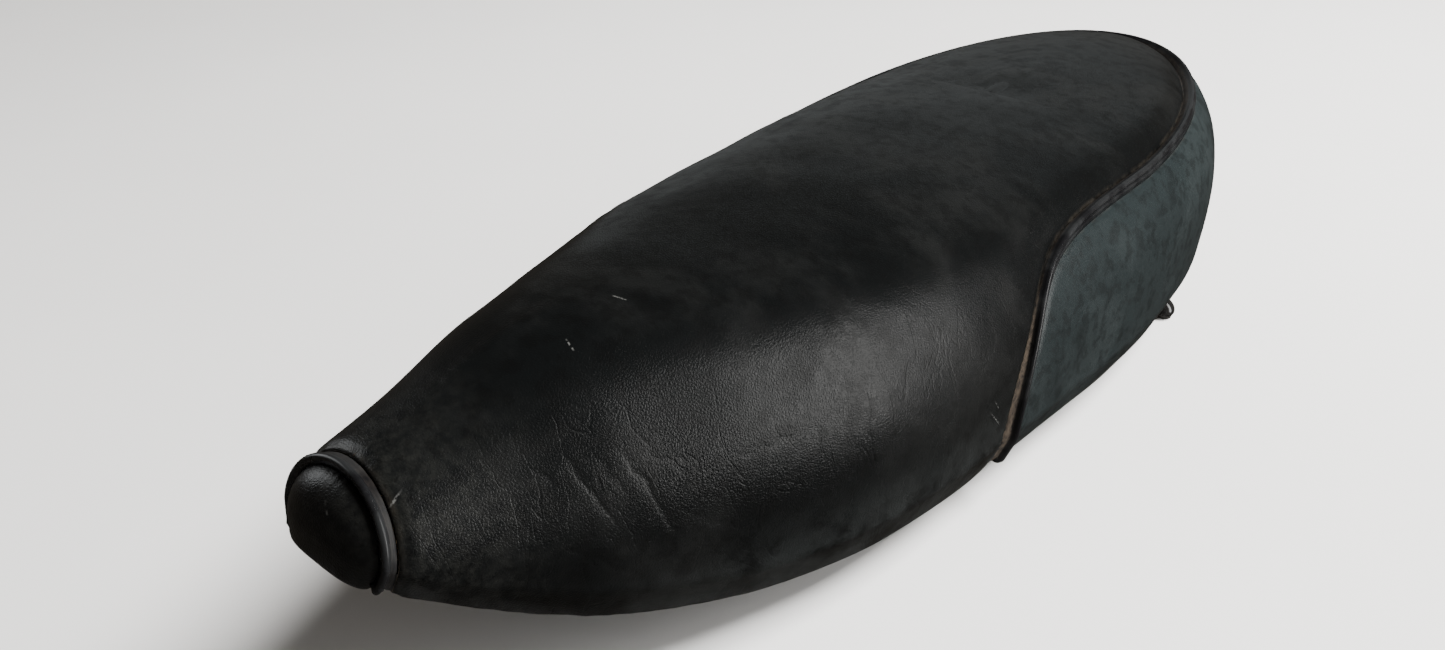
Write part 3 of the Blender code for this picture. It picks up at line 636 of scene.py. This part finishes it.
def clip(points, faces, values, keep):
    """Keeps the part of a mesh where keep is positive, cutting faces exactly where it is zero."""
    keep = np.where(np.abs(keep) < CELL * 0.12, 0.0, keep)
    points, cut = list(map(tuple, points)), {}
    columns = {key: list(value) for key, value in values.items()}
    inside = keep >= 0
    kept = []
    for face in faces:
        if not any(keep[v] > 0 for v in face):
            continue
        if all(inside[v] for v in face):
            kept.append(face)
            continue
        made = []
        for a, b in zip(face, face[1:] + face[:1]):
            if inside[a]:
                made.append(a)
            if keep[a] * keep[b] < 0:
                key = (min(a, b), max(a, b))
                if key not in cut:
                    share = keep[key[0]] / (keep[key[0]] - keep[key[1]])
                    first, second = np.array(points[key[0]]), np.array(points[key[1]])
                    cut[key] = len(points)
                    points.append(tuple(first + (second - first) * share))
                    for column in columns.values():
                        column.append(column[key[0]] + (column[key[1]] - column[key[0]]) * share)
                made.append(cut[key])
        if len(made) > 2:
            kept.append(tuple(made))
    used = sorted({v for face in kept for v in face})
    new = {v: k for k, v in enumerate(used)}
    return (
        np.array([points[v] for v in used]),
        [tuple(new[v] for v in face) for face in kept],
        {key: np.array(column)[used] for key, column in columns.items()},
    )


def hem_fold():
    """(up, depth) along the turned-in hem's lip, and (rise, depth) round its fold outwards."""
    radius = (LIP_DEPTH + VINYL) / 2
    lip = [(up, 2 * radius) for up in np.linspace(LIP_TOP, LIP_FOOT, 5)]
    return lip, [(radius * (1 - math.sin(turn)), radius * (1 - math.cos(turn)))
                 for turn in np.linspace(math.pi, 0, 9)]


def skin_grid(along, upper):
    """Left half of the skin as rows of points with its hem folded in: points, along, up, depth."""
    lip, fold = hem_fold()
    rows_up, rows_depth = [], []
    for skirt in skirt_height(along):
        up = [u for u, _ in lip] + [rise / skirt for rise, _ in fold]
        up += [u for u in upper if u > up[-1] + 0.02]
        up += [3.0] * (len(lip) + len(fold) + len(upper) - len(up))
        depth = [d for _, d in lip + fold]
        rows_up.append(up)
        rows_depth.append(depth + [0.0] * (len(up) - len(depth)))
    up, depth = np.array(rows_up), np.array(rows_depth)
    flat = np.repeat(np.asarray(along)[:, None], up.shape[1], axis=1)
    points = surface(flat, up)
    inward = skin_normal(flat, np.minimum(up, 1.0))
    points = points - np.where(depth > 0, depth, 0)[..., None] * inward
    return points, flat, up, depth


def even_ups(count):
    """Values of up that space the points of a section evenly."""
    dense = np.concatenate([np.linspace(0.3, 2, 60), 2 + np.linspace(0, 1, 400)[1:]])
    run = lengths(surface(np.full(len(dense), 0.6), dense))
    return np.interp(np.linspace(0, run[-1], count), run, dense)


def grid_faces(rows, columns):
    return [(a, a + columns, a + columns + 1, a + 1)
            for i in range(rows - 1) for a in range(i * columns, (i + 1) * columns - 1)]


def ring_faces(rings, sides):
    """Faces between closed rings of points."""
    return [(i * sides + k, i * sides + n, (i + 1) * sides + n, (i + 1) * sides + k)
            for i in range(rings - 1) for k, n in zip(range(sides), [*range(1, sides), 0])]


def grid_normals(points):
    """Normals of a grid of points that runs from hem to hem over the crown."""
    return unit(np.cross(np.gradient(points, axis=0), np.gradient(points, axis=1)))


def whole_width(left):
    """Left half's columns, then the same ones back down the right side."""
    return np.concatenate([left, left[:, -2::-1]], axis=1)


def both_sides(left, closed_row):
    """A half's grid of points and its mirror image; the closed row lies on the middle plane."""
    points = whole_width(left)
    points[:, left.shape[1]:, 0] *= -1
    points[closed_row, :, 0] = 0
    return points


def rows_along(step):
    """Values of along that space rows evenly from the arch to the tail's end."""
    body = np.linspace(0, 1, round(BODY / step) + 1)
    return np.concatenate([body, 1 + np.linspace(0, 1, round(TAIL_ARC / step) + 1)[1:]])


def build_skin():
    """The body and tail of the cover as one sheet: points, and along, up and depth of each."""
    points, along, up, depth = skin_grid(rows_along(CELL), even_ups(round(GIRTH / CELL)))
    return both_sides(points, -1), [whole_width(value) for value in (along, up, depth)]


def beside_seam(flat, along, up, depth):
    """Distance from the rear seam, positive on the top panel's side, way along it, its length."""
    line = surface(*seam_path())
    gap, run = nearest(on_left(flat), line)
    fold = depth > 0
    gap = np.where(fold, np.abs(along - SEAM_FOOT) * BODY, gap)
    run = np.where(fold, 0, run)
    above = (along < SEAM_FOOT) | (up > seam_up(np.maximum(along, SEAM_FOOT)))
    return np.where(above, gap, -gap), run, lengths(line)[-1]


CREASE_SHARE = 0.10       # share of a crease's depth that the mesh carries; the finish has more
CREASE_REACH = 0.0035     # how far beside its middle a crease shows


def crease_field(flat, side, normals):
    """How far creases push the surface in, a mask of where they are, and the way beside them."""
    push, mask, beside = np.zeros(len(flat)), np.zeros(len(flat)), np.full(len(flat), 0.01)
    for creases, sign in ((CREASES, 1), (FAR_CREASES, -1)):
        here = np.where(side == sign)[0]
        left = flat[here] * [sign, 1, 1]
        for pairs, width, depth in creases:
            fine = np.array(pairs)
            stops = np.linspace(0, len(fine) - 1, 24)
            line = on_skin(np.stack([np.interp(stops, range(len(fine)), fine[:, k])
                                     for k in (0, 1)], 1))
            close = np.where(np.abs(left - line.mean(0)).max(1) < 0.06)[0]
            if not len(close):
                continue
            gap, run = nearest(left[close], line)
            along = lengths(line)
            ends = smooth(0, 0.3, run / along[-1]) * smooth(0, 0.3, 1 - run / along[-1])
            valley = bell(gap, width) * ends
            bank = bell(gap - 2.2 * width, 1.2 * width) * ends
            push[here[close]] += CREASE_SHARE * depth * (valley - 0.3 * bank)
            spot = np.stack([np.interp(run, along, line[:, k]) for k in range(3)], 1)
            across = np.cross(normals[here[close]] * [sign, 1, 1], line[-1] - line[0])
            way = np.sign(((left[close] - spot) * across).sum(1))
            strength = bell(gap, CREASE_REACH) * ends * min(1, depth * 1100)
            best = strength > mask[here[close]]
            mask[here[close[best]]] = strength[best]
            beside[here[close[best]]] = (gap * way)[best]
    return push, mask, beside


def ledge_width(run, total):
    """Distance from the piping's centre to the top panel's edge: wide low on the flank."""
    share = run / total
    return 0.0064 - 0.0040 * smooth(0.06, 0.22, share)


PITCH = 0.0045            # spacing of the stitches
GIVE = 0.0013             # how far the foam presses the cover out between its seams
CLOTH_CELL = 0.006
CLOTH_FRAMES = 20
CLOTH_LIMIT = 0.005       # no point of the cloth may move further


def stitches(run):
    """1 at each stitch along a seam, 0 between them."""
    return 0.5 + 0.5 * np.cos(2 * math.pi * run / PITCH)


def cover_give(points):
    """How far the cover stands out at points, from a cloth held at its seams with foam under it."""
    along = np.concatenate([np.linspace(0, 1, round(BODY / CLOTH_CELL)),
                            1 + np.linspace(0, 1, round(TAIL_ARC / CLOTH_CELL))[1:]])
    up = even_ups(round(GIRTH / CLOTH_CELL))
    sheet = both_sides(surface(along[:, None], up[None, :]), -1)
    cloth = new_piece("cover_cloth", sheet.reshape(-1, 3), grid_faces(*sheet.shape[:2]), {}, [])
    rest = np.array([v.co for v in cloth.data.vertices])
    normals = np.array([v.normal for v in cloth.data.vertices])
    held = np.zeros(len(rest), bool)
    for line, reach in (
        (surface(*seam_path()), 0.0045), (surface(0, np.linspace(0, 3, 60)), 0.003),
        (surface(np.linspace(0, 2, 200), 0.3), 0.010),
    ):
        held |= nearest(on_left(rest), line)[0] < reach
    group = cloth.vertex_groups.new(name="held")
    group.add([int(v) for v in np.where(held)[0]], 1.0, "REPLACE")
    pressed = cloth.modifiers.new("cloth", "CLOTH")
    pressed.settings.vertex_group_mass = "held"
    pressed.settings.use_pressure = True
    pressed.settings.uniform_pressure_force = 4.0
    pressed.settings.quality = 5
    pressed.settings.effector_weights.gravity = 0
    pressed.point_cache.frame_start, pressed.point_cache.frame_end = 1, CLOTH_FRAMES
    for number in range(1, CLOTH_FRAMES + 1):
        bpy.context.scene.frame_set(number)
    settled = cloth.evaluated_get(bpy.context.evaluated_depsgraph_get())
    moved = np.array([v.co for v in settled.data.vertices]) - rest
    bpy.context.scene.frame_set(1)
    bpy.data.objects.remove(cloth)
    out = np.clip(np.abs((moved * normals).sum(1)), 0, CLOTH_LIMIT)
    out *= GIVE / max(np.percentile(out, 95), 1e-6)
    lookup = KDTree(len(rest))
    for number, spot in enumerate(rest):
        lookup.insert(spot, number)
    lookup.balance()
    give = np.empty(len(points))
    for number, point in enumerate(points):
        near = lookup.find_n(point, 4)
        weights = [1 / (gap + 0.0005) ** 2 for _, _, gap in near]
        total = sum(w * out[at] for w, (_, at, _) in zip(weights, near))
        give[number] = total / sum(weights)
    return give


def fade_in_hem(push, depth):
    """The push, fading to none in the turned-in hem."""
    return push * np.where(depth > 0, np.clip(1 - depth / (LIP_DEPTH + VINYL), 0, 1), 1)


def shaped_skin():
    """The cover's sheet with its stretch, seams, puckers and creases worked in."""
    points, grids = build_skin()
    rows, columns = points.shape[:2]
    normals = grid_normals(points)
    normals[-1, :, 0] = 0
    flat, normals = points.reshape(-1, 3), normals.reshape(-1, 3)
    along, up, depth = (grid.ravel() for grid in grids)
    signed, run, total = beside_seam(flat, along, up, depth)
    # the top panel rolls down to the piping, and sits sunk inside the tail's raised rim
    tail_share = smooth(0.9, 1.3, along)
    top = signed > 0
    near = signed - ledge_width(run, total)
    band = -signed - BAND_GAP
    rolled = 0.0013 * bell(near, 0.0022) + (0.0010 + 0.0022 * tail_share) * bell(near, 0.011)
    push = np.where(top, rolled, 0.0012 * bell(band, 0.0022) + 0.0006 * bell(band, 0.012))
    # stitches pull the vinyl in beside the seams
    pull = stitches(run) * bell(np.where(top, near, band), 0.0024)
    push += 0.00030 * pull * (np.abs(signed) > 0.003)
    # the arch's edge rolls down behind the nose piping
    behind = along * BODY - ARCH_GAP
    by_arch = (behind > -0.004) & (along < 0.2)
    push += by_arch * 0.0012 * bell(behind, 0.0022)
    push += by_arch * 0.00022 * stitches(up * 0.03) * bell(behind, 0.003)
    # old foam: broad soft hollows and swells
    push += 0.0007 * waves(flat, 9.0, 1) + 0.00035 * waves(flat, 26.0, 2)
    for spot, reach, deep in zip(on_skin([(0.80, 2.02), (0.86, 2.10)]),
                                 (0.020, 0.026), (0.0016, 0.0010)):
        push += deep * bell(np.linalg.norm(on_left(flat) - spot, axis=1), reach)
    push -= cover_give(flat)
    # gathers where the hem is folded round the bend of the narrow nose
    gather = smooth(0.5, 0.0, along) * smooth(1.2, 0.2, up)
    push += 0.00035 * gather * waves(flat * [1, 1, 0.3], 130.0, 3)
    crease, mask, beside = crease_field(flat, np.sign(flat[:, 0] + 1e-9), normals)
    push = fade_in_hem(push + crease, depth)
    hem = np.where(depth > 0, 0.0, np.where(up > 1, FAR, up * skirt_height(along)))
    values = dict(along=along, crease=mask, beside=beside, signed=signed, run=run, hem=hem)
    return flat - push[:, None] * normals, grid_faces(rows, columns), values, total


def cover_pieces():
    """The top panel and the rear band, cut from the shaped sheet along the rear seam."""
    flat, faces, values, total = shaped_skin()

    def from_top_edge(at):
        seam = at["signed"] - ledge_width(at["run"], total)
        return np.minimum(seam, at["along"] * BODY - ARCH_GAP)

    def from_band_edge(at):
        return -at["signed"] - BAND_GAP

    made = []
    for name, finish, from_edge, slot in (
        ("cover_top_panel", TOP, from_top_edge, "top_vinyl"),
        ("cover_rear_side_band", BAND_PAINTED_GLOW, from_band_edge, "band_vinyl"),
    ):
        points, kept, cut = clip(flat, faces, values, from_edge(values))
        shown = {key: cut[key] for key in ("crease", "beside", "hem")}
        shown["seam"] = from_edge(cut)
        made.append(thicken(new_piece(name, points, kept, shown, [finish, BACKING], slot=slot)))
    return made


def nose_panel():
    """The bulging panel inside the nose arch, tucked in close under the nose piping."""
    along = -np.linspace(1, 0.002, round(NOSE_RISE / CELL) + 8)
    left, _, up, depth = skin_grid(along, even_ups(round(NOSE_GIRTH / CELL)))
    points = both_sides(left, 0)
    rows, columns = points.shape[:2]
    up, depth = whole_width(up).ravel(), whole_width(depth).ravel()
    normals = grid_normals(points)
    normals[0, :, 0] = 0
    flat, normals = points.reshape(-1, 3), normals.reshape(-1, 3)
    gap, run = nearest(on_left(flat), surface(0, np.linspace(0, 3, 80)))
    push = 0.0007 * bell(gap, 0.0014) - 0.0006 * bell(gap, 0.0050)
    push += 0.00025 * stitches(run) * bell(gap, 0.005)
    push += 0.0005 * waves(flat, 45.0, 5)
    flat = flat - fade_in_hem(push, depth)[:, None] * normals
    hem = np.where(depth > 0, 0, np.where(up > 1, FAR, up * SKIRT[0]))
    shown = {"crease": np.zeros(len(flat)), "seam": gap, "hem": hem}
    return thicken(new_piece("cover_nose_panel", flat, grid_faces(rows, columns), shown,
                             [NOSE, BACKING], slot="top_vinyl"))


# -------------------- piping

def sweep(name, path, out, profile, finish, dusty):
    """A closed profile swept along a path.

    profile(share) gives the (across, outwards) points at that share of the path, and
    dusty(across, share) gives how dusty they are.
    """
    path, out = np.array(path), np.array(out)
    run = lengths(path)
    ahead = unit(np.gradient(path, axis=0))
    out = unit(out - (out * ahead).sum(1, keepdims=True) * ahead)
    across = np.cross(out, ahead)
    points, dust = [], []
    for i, share in enumerate(run / run[-1]):
        for a, b in profile(share):
            points.append(path[i] + across[i] * a + out[i] * b)
            dust.append(dusty(a, share))
    count = len(profile(0))
    faces = ring_faces(len(path), count)
    faces.append(tuple(range(count)))
    faces.append(tuple((len(path) - 1) * count + k for k in reversed(range(count))))
    return new_piece(name, points, faces, {"dust": dust}, [finish], slot="piping_vinyl")


def arc(centre, radius, start, end, steps):
    """Points of an arc in the profile's plane, angles in degrees."""
    turns = np.radians(np.linspace(start, end, steps))
    return [(centre[0] + radius * math.cos(t), centre[1] + radius * math.sin(t)) for t in turns]


FOLD = 0.0024             # radius that the piping's ends fold round, under the hem


def seam_route(along, up):
    """Points and outward normals along a seam, from inside the left hem to inside the right."""
    foot = skin_normal(along[0], 0.5)
    points, out = [], []
    middle = surface(along[0], 0.0) - foot * FOLD + [0, 0, FOLD]
    for turn in np.linspace(-math.pi * 0.42, math.pi / 2, 10, endpoint=False):
        # from the inner side of the fold, under it, to the outside
        away = foot * math.sin(turn) + np.array([0, 0, -1]) * math.cos(turn)
        points.append(middle + away * FOLD)
        out.append(away)
    keep = (up > FOLD / skirt_height(along[0])) | (along > along[0])
    points += list(surface(along[keep], up[keep]))
    out += list(skin_normal(along[keep], up[keep]))
    both = []
    for half in (points, out):
        half[-1] = half[-1] * [0, 1, 1]
        both.append(half + [value * [-1, 1, 1] for value in half[-2::-1]])
    return both


def rear_piping():
    """The cord with its flanges: wide and dusty low on the flank, sunk inside the tail's rim."""
    points, out = seam_route(*seam_path(round(0.9 / CELL)))

    def profile(share):
        way = 1 - abs(2 * share - 1)
        sunk = 0.0022 * smooth(0.27, 0.42, way)
        ledge = ledge_width(way, 1)
        made = arc((0, 0.0002), 0.0018, 168, 8, 13)
        made += [(0.0020, -0.0008), (0.0024, -0.0014), (ledge - 0.0001, -0.0017 - sunk),
                 (ledge + 0.0004, -0.0030 - sunk), (0.0080, -0.0032 - sunk)]
        made += [(0.0080, -0.0044 - sunk), (-0.0050, -0.0030), (-0.0048, -0.0014)]
        made += [(-0.0037, -0.0005), (-0.0033, 0.0001), (-0.0028, 0.0003), (-0.0024, 0.0),
                 (-0.0021, -0.0006)]
        return made

    def dusty(a, share):
        way = 1 - abs(2 * share - 1)
        return float(smooth(0.0019, 0.0024, a) * (1 - 0.8 * smooth(0.12, 0.24, way)))

    return sweep("piping_rear_welt", points, out, profile, REAR_PIPE, dusty)


def nose_piping():
    """The glossy cord over the nose arch, with its flange on the top panel's side."""
    ups = np.concatenate([np.linspace(0, 2, 24, endpoint=False), 2 + np.linspace(0, 1, 60)])
    points, out = seam_route(np.zeros(len(ups)), ups)

    def profile(share):
        made = arc((0, -0.0005), 0.0015, 200, 20, 13)
        made += [(0.0017, -0.0006), (0.0021, -0.0009), (0.0027, -0.0008), (0.0034, -0.0010),
                 (0.0039, -0.0014), (0.0042, -0.0020), (0.0043, -0.0025)]
        made += [(0.0043, -0.0036), (-0.0016, -0.0036)]
        return [(-a, b) for a, b in made]

    def dusty(a, share):
        return float(0.5 * smooth(0.0013, 0.0018, -a) + 0.5 * smooth(0.0034, 0.0042, -a))

    return sweep("piping_nose_welt", points, out, profile, NOSE_PIPE, dusty)


# -------------------- foam and rubber

FOAM_DEPTH = 0.0078       # from the outside of the skin in to the foam


def foam_core():
    """The moulded foam, seen only through the pan's holes: a closed crowned body."""
    along = np.concatenate([-np.linspace(1, 0.02, 12), np.linspace(0, 1, 60),
                            1 + np.linspace(0, 1, 40)[1:]])
    upper = np.concatenate([[1.5], np.linspace(2, 3, 30)])

    def inside(along, up):
        return surface(along, up) - skin_normal(along, up) * FOAM_DEPTH

    outer = inside(along[:, None], upper[None, :])
    edge = inside(along, 1.0) + [0, 0, 0.0004]
    middle = edge * [0, 1, 1]
    for fan, at in ((along < 0, 0), (along > 1, 1)):
        middle[fan] = edge[np.argmin(np.abs(along - at))] * [0, 1, 1]
    under = [middle + (edge - middle) * share for share in np.linspace(0, 1, 14)]
    left = np.concatenate([np.stack(under, 1), outer], 1)
    left[:, -1, 0] = 0
    left[(along == -1) | (along == 2), :, 0] = 0
    loop = np.concatenate([left, left[:, -2:0:-1] * [-1, 1, 1]], 1)
    return new_piece("foam_seat_core", loop.reshape(-1, 3), ring_faces(*loop.shape[:2]), {},
                     [foam_finish()], slot="foam")


BUFFER_LEAN = 0.0085      # a leaning buffer's foot is this far outside its stud


def buffer(label, finish):
    """A turned rubber buffer, leaning like the solid it stands for."""
    low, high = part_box("buffer_" + label)
    stud_low, stud_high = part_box("buffer_stud_" + label)
    x, y = (stud_low.x + stud_high.x) / 2, (stud_low.y + stud_high.y) / 2
    top = high.z
    lean = (low.x + high.x) / 2 - x
    if abs(lean) > 0.0005:
        lean = math.copysign(BUFFER_LEAN, x)
    bulb, neck, head, middle = 0.0068, 0.0045, 0.0062, 0.0066
    outline = [(0.0, 0.0), (0.0036, 0.0), (0.0047, 0.0004)]
    outline += [(bulb * math.cos(t), middle + bulb * math.sin(t))
                for t in np.radians(np.linspace(-42, 42, 12))]
    outline += [(0.0046, middle + 0.0058), (neck, middle + 0.0078), (neck, top - 0.0042),
                (0.0050, top - 0.0033), (head, top - 0.0024), (head + 0.0001, top - 0.0008),
                (head - 0.0004, top), (0.0036, top), (0.0034, top - 0.0012), (0.0, top - 0.0012)]
    sides, points = 40, []
    straight = top - 0.008
    for radius, z in outline:
        share = max(0, 1 - z / straight)
        shift = lean * share * (2 - share)
        for k in range(sides):
            turn = 2 * math.pi * k / sides
            points.append((x + shift + radius * math.cos(turn), y + radius * math.sin(turn), z))
    piece = new_piece("rubber_buffer_" + label, points, ring_faces(len(outline), sides), {},
                      [finish], slot="buffer_rubber")
    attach(piece, "seat")
    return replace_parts(piece, "buffer_" + label)


# -------------------- putting it together

top_panel, rear_band = cover_pieces()
nose = nose_panel()
rear_welt, nose_welt = rear_piping(), nose_piping()
foam = foam_core()
for piece, solid, fill in (
    (top_panel, "cover_top", 0.9), (rear_band, "cover_rear_band", 0.9), (nose, "cover_nose", 0.95),
    (foam, "foam_core", 1.0), (rear_welt, "rear_piping", None), (nose_welt, "nose_piping", None),
):
    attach(piece, "seat")
    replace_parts(piece, solid)

RUBBER = rubber("buffer_rubber_glossy")
for label in ("front_left", "front_right", "rear_left", "rear_right"):
    buffer(label, RUBBER)

PAN = painted_steel("pan_paint_rusty", (0.014, 0.014, 0.0145), 0.55)
BLACK = painted_steel("black_steel_worn", (0.010, 0.010, 0.011), 0.30)
ZINC = bare_metal("zinc_dulled", (0.50, 0.48, 0.42), (0.30, 0.28, 0.24), 0.28, 0.35)
SPRING = bare_metal("spring_steel_dark", (0.16, 0.16, 0.17), (0.09, 0.085, 0.08), 0.30, 0.55)
METALS = {"pan_paint": PAN, "black_steel": BLACK, "zinc_steel": ZINC, "spring_steel": SPRING}
for part in frame["record"]["subparts"]:
    finish = METALS.get(part["material_slot"])
    if finish:
        shown = frame["nodes"][part["node"]]
        shown.data.materials.clear()
        shown.data.materials.append(finish)

# -------------------- floor, light and camera

def floor():
    mesh = bpy.data.meshes.new("table")
    mesh.from_pydata([(-9, -9, 0), (9, -9, 0), (9, 9, 0), (-9, 9, 0)], [], [(0, 1, 2, 3)])
    made, shader = new_finish("pale_table")
    tone = ramp(cloud(1.6, 4.0), 0.3, 0.7)
    colour = mix(tone, (0.74, 0.735, 0.73), (0.78, 0.775, 0.77))
    plug(shader.inputs["Base Color"], colour)
    plug(shader.inputs["Roughness"], 0.6)
    mesh.materials.append(made)
    table = show("table", mesh)
    # the vinyl carries a painted reflection of the table instead: its lower flanks and the rear
    # band are painted lighter
    table.visible_glossy = False   # old vinyl is too dull to mirror the table


# name, azimuth, elevation, distance, size, power, colour, what it does not light
LIGHTS = [
    ("side_window", 17, 13, 1.7, (1.8, 0.5), 40, (1, 0.99, 0.97), None),
    # it lights the table, and the vinyl mirrors only the windows and the wall
    ("ceiling", 42, 54, 2.6, (1.1, 1.1), 305, (1, 0.99, 0.97), "visible_glossy"),
    ("back_wall", 118, 12, 1.9, (2.6, 0.5), 1.8, (0.88, 0.97, 1), "visible_diffuse"),
    ("far_window", 205, 24, 2.0, (1.6, 0.8), 16, (0.95, 0.98, 1), "visible_diffuse"),
]
ROOM_GLOW = ((1.0, 0.87, 0.72, 1), 0.07)
CAMERA_SPOT, CAMERA_TURN, CAMERA_LENS = (0.272, -0.460, 0.361), (58.5, 0, 40), 27.03


def around(centre, azimuth, elevation, distance):
    """A place seen from centre at that azimuth, in degrees from +X, and elevation."""
    a, e = math.radians(azimuth), math.radians(elevation)
    return centre + distance * Vector(
        (math.cos(a) * math.cos(e), math.sin(a) * math.cos(e), math.sin(e)))


def stage_and_camera():
    floor()
    centre = (cad_box[0] + cad_box[1]) / 2
    for name, azimuth, elevation, distance, size, power, colour, unlit in LIGHTS:
        lamp = bpy.data.lights.new(name, "AREA")
        lamp.shape = "RECTANGLE"
        lamp.size, lamp.size_y = size
        lamp.energy, lamp.color = power, colour
        made = show(name, lamp)
        made.location = around(centre, azimuth, elevation, distance)
        made.rotation_mode = "QUATERNION"
        made.rotation_quaternion = (centre - made.location).to_track_quat("-Z", "Z")
        if unlit:
            setattr(made, unlit, False)
    world = bpy.data.worlds.new("room")
    world.use_nodes = True
    for socket, value in zip(world.node_tree.nodes["Background"].inputs, ROOM_GLOW):
        socket.default_value = value
    bpy.context.scene.world = world
    lens = bpy.data.cameras.new("view")
    lens.lens = CAMERA_LENS
    lens.clip_start, lens.clip_end = 0.01, 50
    camera = show("view", lens)
    camera.location = CAMERA_SPOT
    camera.rotation_euler = [math.radians(turn) for turn in CAMERA_TURN]
    bpy.context.scene.camera = camera


stage_and_camera()
